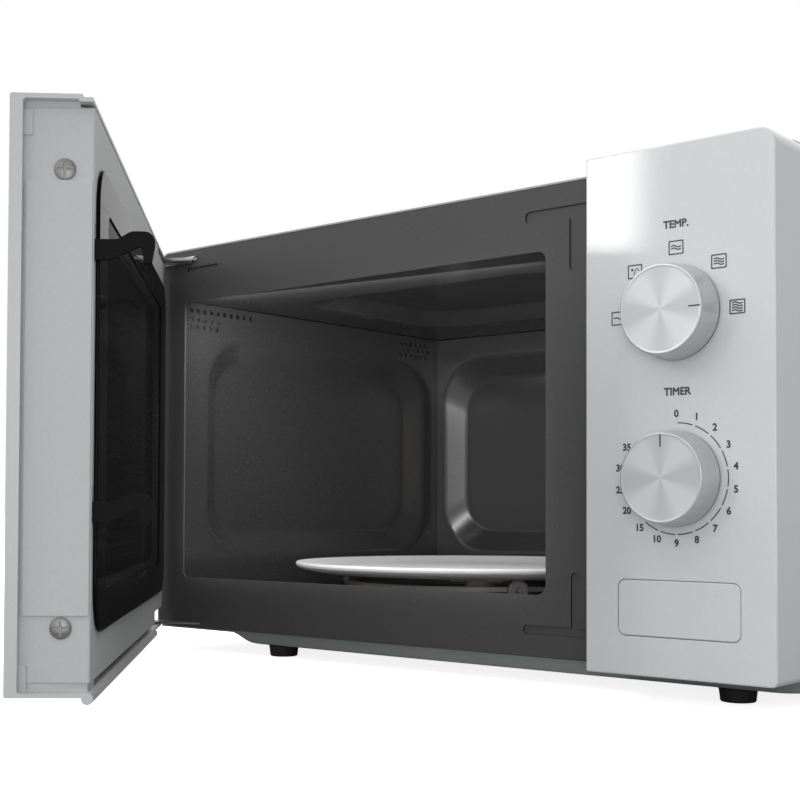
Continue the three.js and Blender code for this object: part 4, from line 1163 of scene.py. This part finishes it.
def roller_parts():
    """The plastic ring under the tray, its spokes to the three wheels, and the wheels."""
    centre = (*TURNTABLE, 29.3)
    ring_outline = [(84, -1.2), (84.5, -1.6), (87.5, -1.6), (88, -1.2), (88, 1.2), (87.5, 1.6), (84.5, 1.6)]
    ring_outline += [(84, 1.2), (84, -1.2)]
    ring = turned("roller_ring_moulding", ring_outline, centre, "z", 96)
    wheel_outline = [(1.9, -2.4), (5.4, -2.4), (6.1, -1.6), (6.2, 0), (6.1, 1.6), (5.4, 2.4), (4.6, 2.4)]
    wheel_outline += [(4.2, 1.7), (2.6, 1.7), (2.4, 2.4), (1.9, 2.4), (1.9, -2.4)]
    x, y, z = centre
    for number in (1, 2, 3):
        turn = math.radians(-40 + 120 * (number - 1))
        axle = rod("axle", "x", (y, z), (x + 86, x + 97.5), 1.4, 16)
        spin_about(axle, centre, turn)
        weld(ring, axle)
        node = f"roller_wheel_{number}"
        wheel = turned(f"wheel_{number}_moulding", wheel_outline, (x + 92.5, y, z), "x", 40)
        spin_about(wheel, centre, turn)
        fit(wheel, node, "inner_plastic", "ring_plastic", node)
    smooth(ring, 30)
    fit(ring, "roller_ring", "inner_plastic", "ring_plastic", "roller_ring")


# ---- Hinges ----


def hinge_bracket(label, span, reach, flange=None):
    """A hinge bracket: a flat tongue with the pin's hole, and at the top a flange on the plate."""
    x, y = HINGE
    outline = [(x - 4.4, y - 3), (x - 2.4, y - 5.8), (x + 2, y - 6), (x + reach - 12, 29.8)]
    outline += [(x + reach, 35.6), (x - 0.4, 35.6), (x - 4.4, 28)]
    tongue = plate(f"{label}_hinge_bracket", "z", [outline], span)
    if flange:
        low, high = flange
        corners = [(x - 0.4, low), (x + reach - 5, low), (x + reach, high), (x - 0.4, high)]
        weld(tongue, plate("upright", "y", [corners], (34.2, 35.6)))
    cut(tongue, rod("pin_hole", "z", HINGE, (span[0] - 2, span[1] + 3), 2.8, 24))
    soften(tongue, 0.25)
    fit(tongue, "cabinet", "zinc_steel", "zinc_steel", f"{label}_hinge_plate")


# ---- Door ----


def door_shell():
    """The door's outer moulding: a face with a glass rebate, top and bottom flanges and a drip bead."""
    section = [(0.9, 0), (33.3, 0), (33.5, 0.9), (33.3, 1.8), (6.2, 1.8), (5.3, 2.7), (5.3, 243), (6.3, 244)]
    section += [(28, 244), (28, 242.9), (33.6, 242.9), (33.8, 243.2), (33.8, 244.4), (33.5, 244.7)]
    section += [(29.6, 244.7), (29.5, 245.8), (29.2, 246), (0.9, 246), (0.25, 245.75), (0, 245.1)]
    section += [(0, 0.9), (0.25, 0.25)]
    shell = plate("door_moulding", "x", [section], (0, DOOR_WIDTH))
    rebate = plate("rebate", "y", [rounded((34, 322.5), (34, 212), 8, 8)], (-2, 3))
    opening = plate("opening", "y", [rounded((48, 308.5), (48, 198), 6, 8)], (-2, 9))
    bead = rod("bead", "x", (33.5, -0.4), (57, DOOR_WIDTH), 2.4, 24)
    side = block("side", (0, 2), (4.3, 31), (14, 230))
    weld(shell, bead, side)
    cut(shell, rebate, opening)
    soften(shell, 0.3)
    swing(shell)
    fit(shell, "door", "silver_plastic", "door_plastic", "door_shell")


def door_frame():
    """The inner pan of the door: end faces, a window collar, hinge pockets and the latch slots."""
    x, y, z = (6, END_FACE), (5.3, DOOR_DEPTH), (5, 241.8)
    pan = block("door_pan", x, y, z)
    round_edges(pan, edge_at("y", x=END_FACE), 1.2, 4)
    round_edges(pan, edge_at(None, y=DOOR_DEPTH), 0.9, 4)
    wall = 1.5
    cut(pan, block("inside", grown(x, -wall), (y[0] - 4, y[1] - wall), grown(z, -wall)))
    band = block("band", (END_FACE - 0.5, END_FACE + 1), (y[0] + 1, 33.4), (32.8, 211.3))
    tab = block("tab", (END_FACE - 0.5, END_FACE + 0.7), (y[0], 8.8), (229.7, 240))
    foot_tab = block("foot_tab", (END_FACE - 0.5, END_FACE + 0.9), (y[0], 8.4), (1.8, 13))
    top_step = block("top_step", (330, END_FACE - 0.4), (y[0], 28), (241, 244))
    foot_step = block("foot_step", (330, END_FACE - 0.4), (y[0], 33), (1.8, 6))
    collar = plate("collar", "y", [rounded(grown(WINDOW[0], 6), grown(WINDOW[1], 6), 7, 6)], (23, 33.5))
    weld(pan, soften(band, 0.35), tab, foot_tab, top_step, foot_step, collar)
    tools = [plate("pane", "y", [rounded(*WINDOW, 5, 8)], (20, 36))]
    tools.append(block("screen_seat", grown(WINDOW[0], 4.4), (29.1, 30.9), grown(WINDOW[1], 4.4)))
    tools.append(block("low_pocket", (0, 56), (4.5, 36), (0, 13)))
    tools.append(block("high_pocket", (0, 56), (4.5, 36), (237.8, 246)))
    tools.append(block("pin_relief", (0, HINGE[0] + 0.1), (15, 31), (0, 246)))
    for root in HOOK_ROOTS:
        tools.append(block("hook_slot", grown(HOOK_SIDE, 0.5), (30, 36), (root - 1, root + 15)))
    for height in SCREW_HEIGHTS:
        tools.append(rod("screw_hole", "x", (SCREW_DEPTH, height), (END_FACE - 6, END_FACE + 3), 2.2, 16))
    cut(pan, *tools)
    smooth(pan)
    swing(pan)
    fit(pan, "door", "silver_paint", "pan_paint", "door_frame")


def door_glass():
    """The dark outer pane, set flush in the door's face."""
    pane = plate("door_pane", "y", [rounded((34.4, 322.1), (34.4, 211.6), 7.6, 8)], (0.05, 2.6), 0.3)
    smooth(pane)
    swing(pane)
    fit(pane, "door", "tinted_glass", "tinted_glass", "door_glass")


def mesh_screen():
    """The perforated screen: a sheet with a fine grid of square holes."""
    columns, rows = 88, 52
    x, z = grown(WINDOW[0], 3.8), grown(WINDOW[1], 3.8)
    low, high = at(x[0], 30, z[0]), at(x[1], 30, z[1])
    bpy.ops.object.select_all(action="DESELECT")
    bpy.ops.mesh.primitive_grid_add(x_subdivisions=columns, y_subdivisions=rows, size=1)
    screen = bpy.context.active_object
    screen.name = "perforated_screen"
    screen.rotation_euler = (math.pi / 2, 0, 0)
    screen.location = (low + high) / 2
    screen.scale = (high.x - low.x, high.z - low.z, 1)
    settle()
    edit(screen)
    bpy.ops.mesh.select_mode(type="FACE")
    bpy.ops.mesh.select_all(action="SELECT")
    bpy.ops.mesh.inset(thickness=0.62 * MM, use_individual=True)
    bpy.ops.mesh.delete(type="FACE")
    done()
    apply_modifier(screen, "SOLIDIFY", thickness=0.5 * MM, offset=0)
    swing(screen)
    fit(screen, "door", "mesh_steel", "mesh_steel", "mesh_screen")


def choke_cover():
    """The glossy black cover round the window, and the clear film in it."""
    outline = rounded((12, 345.2), (24.2, 221), 19, 10)
    hole = rounded(grown(WINDOW[0], 2), grown(WINDOW[1], 3), 6, 8)
    cover = plate("window_cover", "y", [outline, hole], (34.1, 35.8), 0.5)
    smooth(cover)
    swing(cover)
    fit(cover, "door", "black_plastic", "cover_black", "choke_cover")
    film_outline = rounded(grown(WINDOW[0], 1.6), grown(WINDOW[1], 2.6), 5.6, 8)
    film = plate("inner_film", "y", [film_outline], (34.4, 35.2), 0.1)
    smooth(film)
    swing(film)
    fit(film, "door", "clear_glass", "film", "inner_window")


def latch_key():
    """The latch: an upright spine in the door and two hooks that reach back into the oven."""
    root = DOOR_DEPTH
    height = (HOOK_ROOTS[0] - 12, HOOK_ROOTS[1] + 26)
    spine = block("latch_hooks", HOOK_SIDE, (HINGE[1] - 4, HINGE[1] + 7), height)
    for low in HOOK_ROOTS:
        outline = [(23, low), (root + 5.5, low), (root + 8.5, low + 1.0), (root + 17.0, low + 5.2)]
        outline += [(root + 18.4, low + 5.3), (root + 19.2, low + 4.2), (root + 20, low + 0.6)]
        outline += arc((root + 21.9, low + 0.2), 1.6, 190, 340, 6)
        outline += [(root + 24.5, low + 6)] + arc((root + 20.2, low + 7.6), 4.4, 0, 90, 8)
        outline += [(root + 15.5, low + 12), (root + 13.8, low + 11.4), (root + 9.8, low + 8.9)]
        outline += [(root + 8.6, low + 8.6), (23, low + 8.6)]
        weld(spine, plate("hook", "x", [outline], HOOK_SIDE))
    soften(spine, 0.35)
    swing(spine)
    fit(spine, "latch", "black_plastic", "black_plastic", "latch_key")


def door_screws(head):
    for height, label in SCREW_HEIGHTS.items():
        screw = set_screw(head, f"door_screw_{label}_head", (END_FACE + 0.4, SCREW_DEPTH, height), (1, 0, 0))
        swing(screw)
        fit(screw, "door", "zinc_steel", "screw_steel", f"door_screw_{label}")


def cabinet_screws(head):
    """Small screws that hold the wrap to the back panel."""
    places = [(x, 339.0, 238) for x in (30, 226, 424)] + [(12, 339.0, 90), (441, 339.0, 90)]
    places += [(x, 339.0, 10) for x in (60, 226, 392)]
    screws = [set_screw(head, "back_screw", place, (0, 1, 0)) for place in places]
    set_of_screws = joined("back_screws", screws)
    fit(set_of_screws, "cabinet", "zinc_steel", "screw_steel")


control_panel()
release_button()
panel_print()
dial("timer", DIALS["timer"], 0)
dial("power", DIALS["power"], 90)
outer_wrap()
base_pan()
for end in ("front", "rear"):
    for hand in ("left", "right"):
        foot(f"foot_{end}_{hand}")
rear_panel()
front_plate()
cavity()
glass_tray()
roller_parts()
hinge_bracket("upper", (239.8, 241.8), 34, (238.3, 242.4))
hinge_bracket("lower", (2.3, 3.5), 40)
door_shell()
door_frame()
door_glass()
mesh_screen()
choke_cover()
latch_key()
door_head = cross_screw("door_head", 4.5, 1.0)
door_screws(door_head)
bpy.data.objects.remove(door_head, do_unlink=True)
back_head = cross_screw("back_head", 3.2, 1.0)
cabinet_screws(back_head)
bpy.data.objects.remove(back_head, do_unlink=True)

bpy.context.scene.view_settings.view_transform = "Standard"
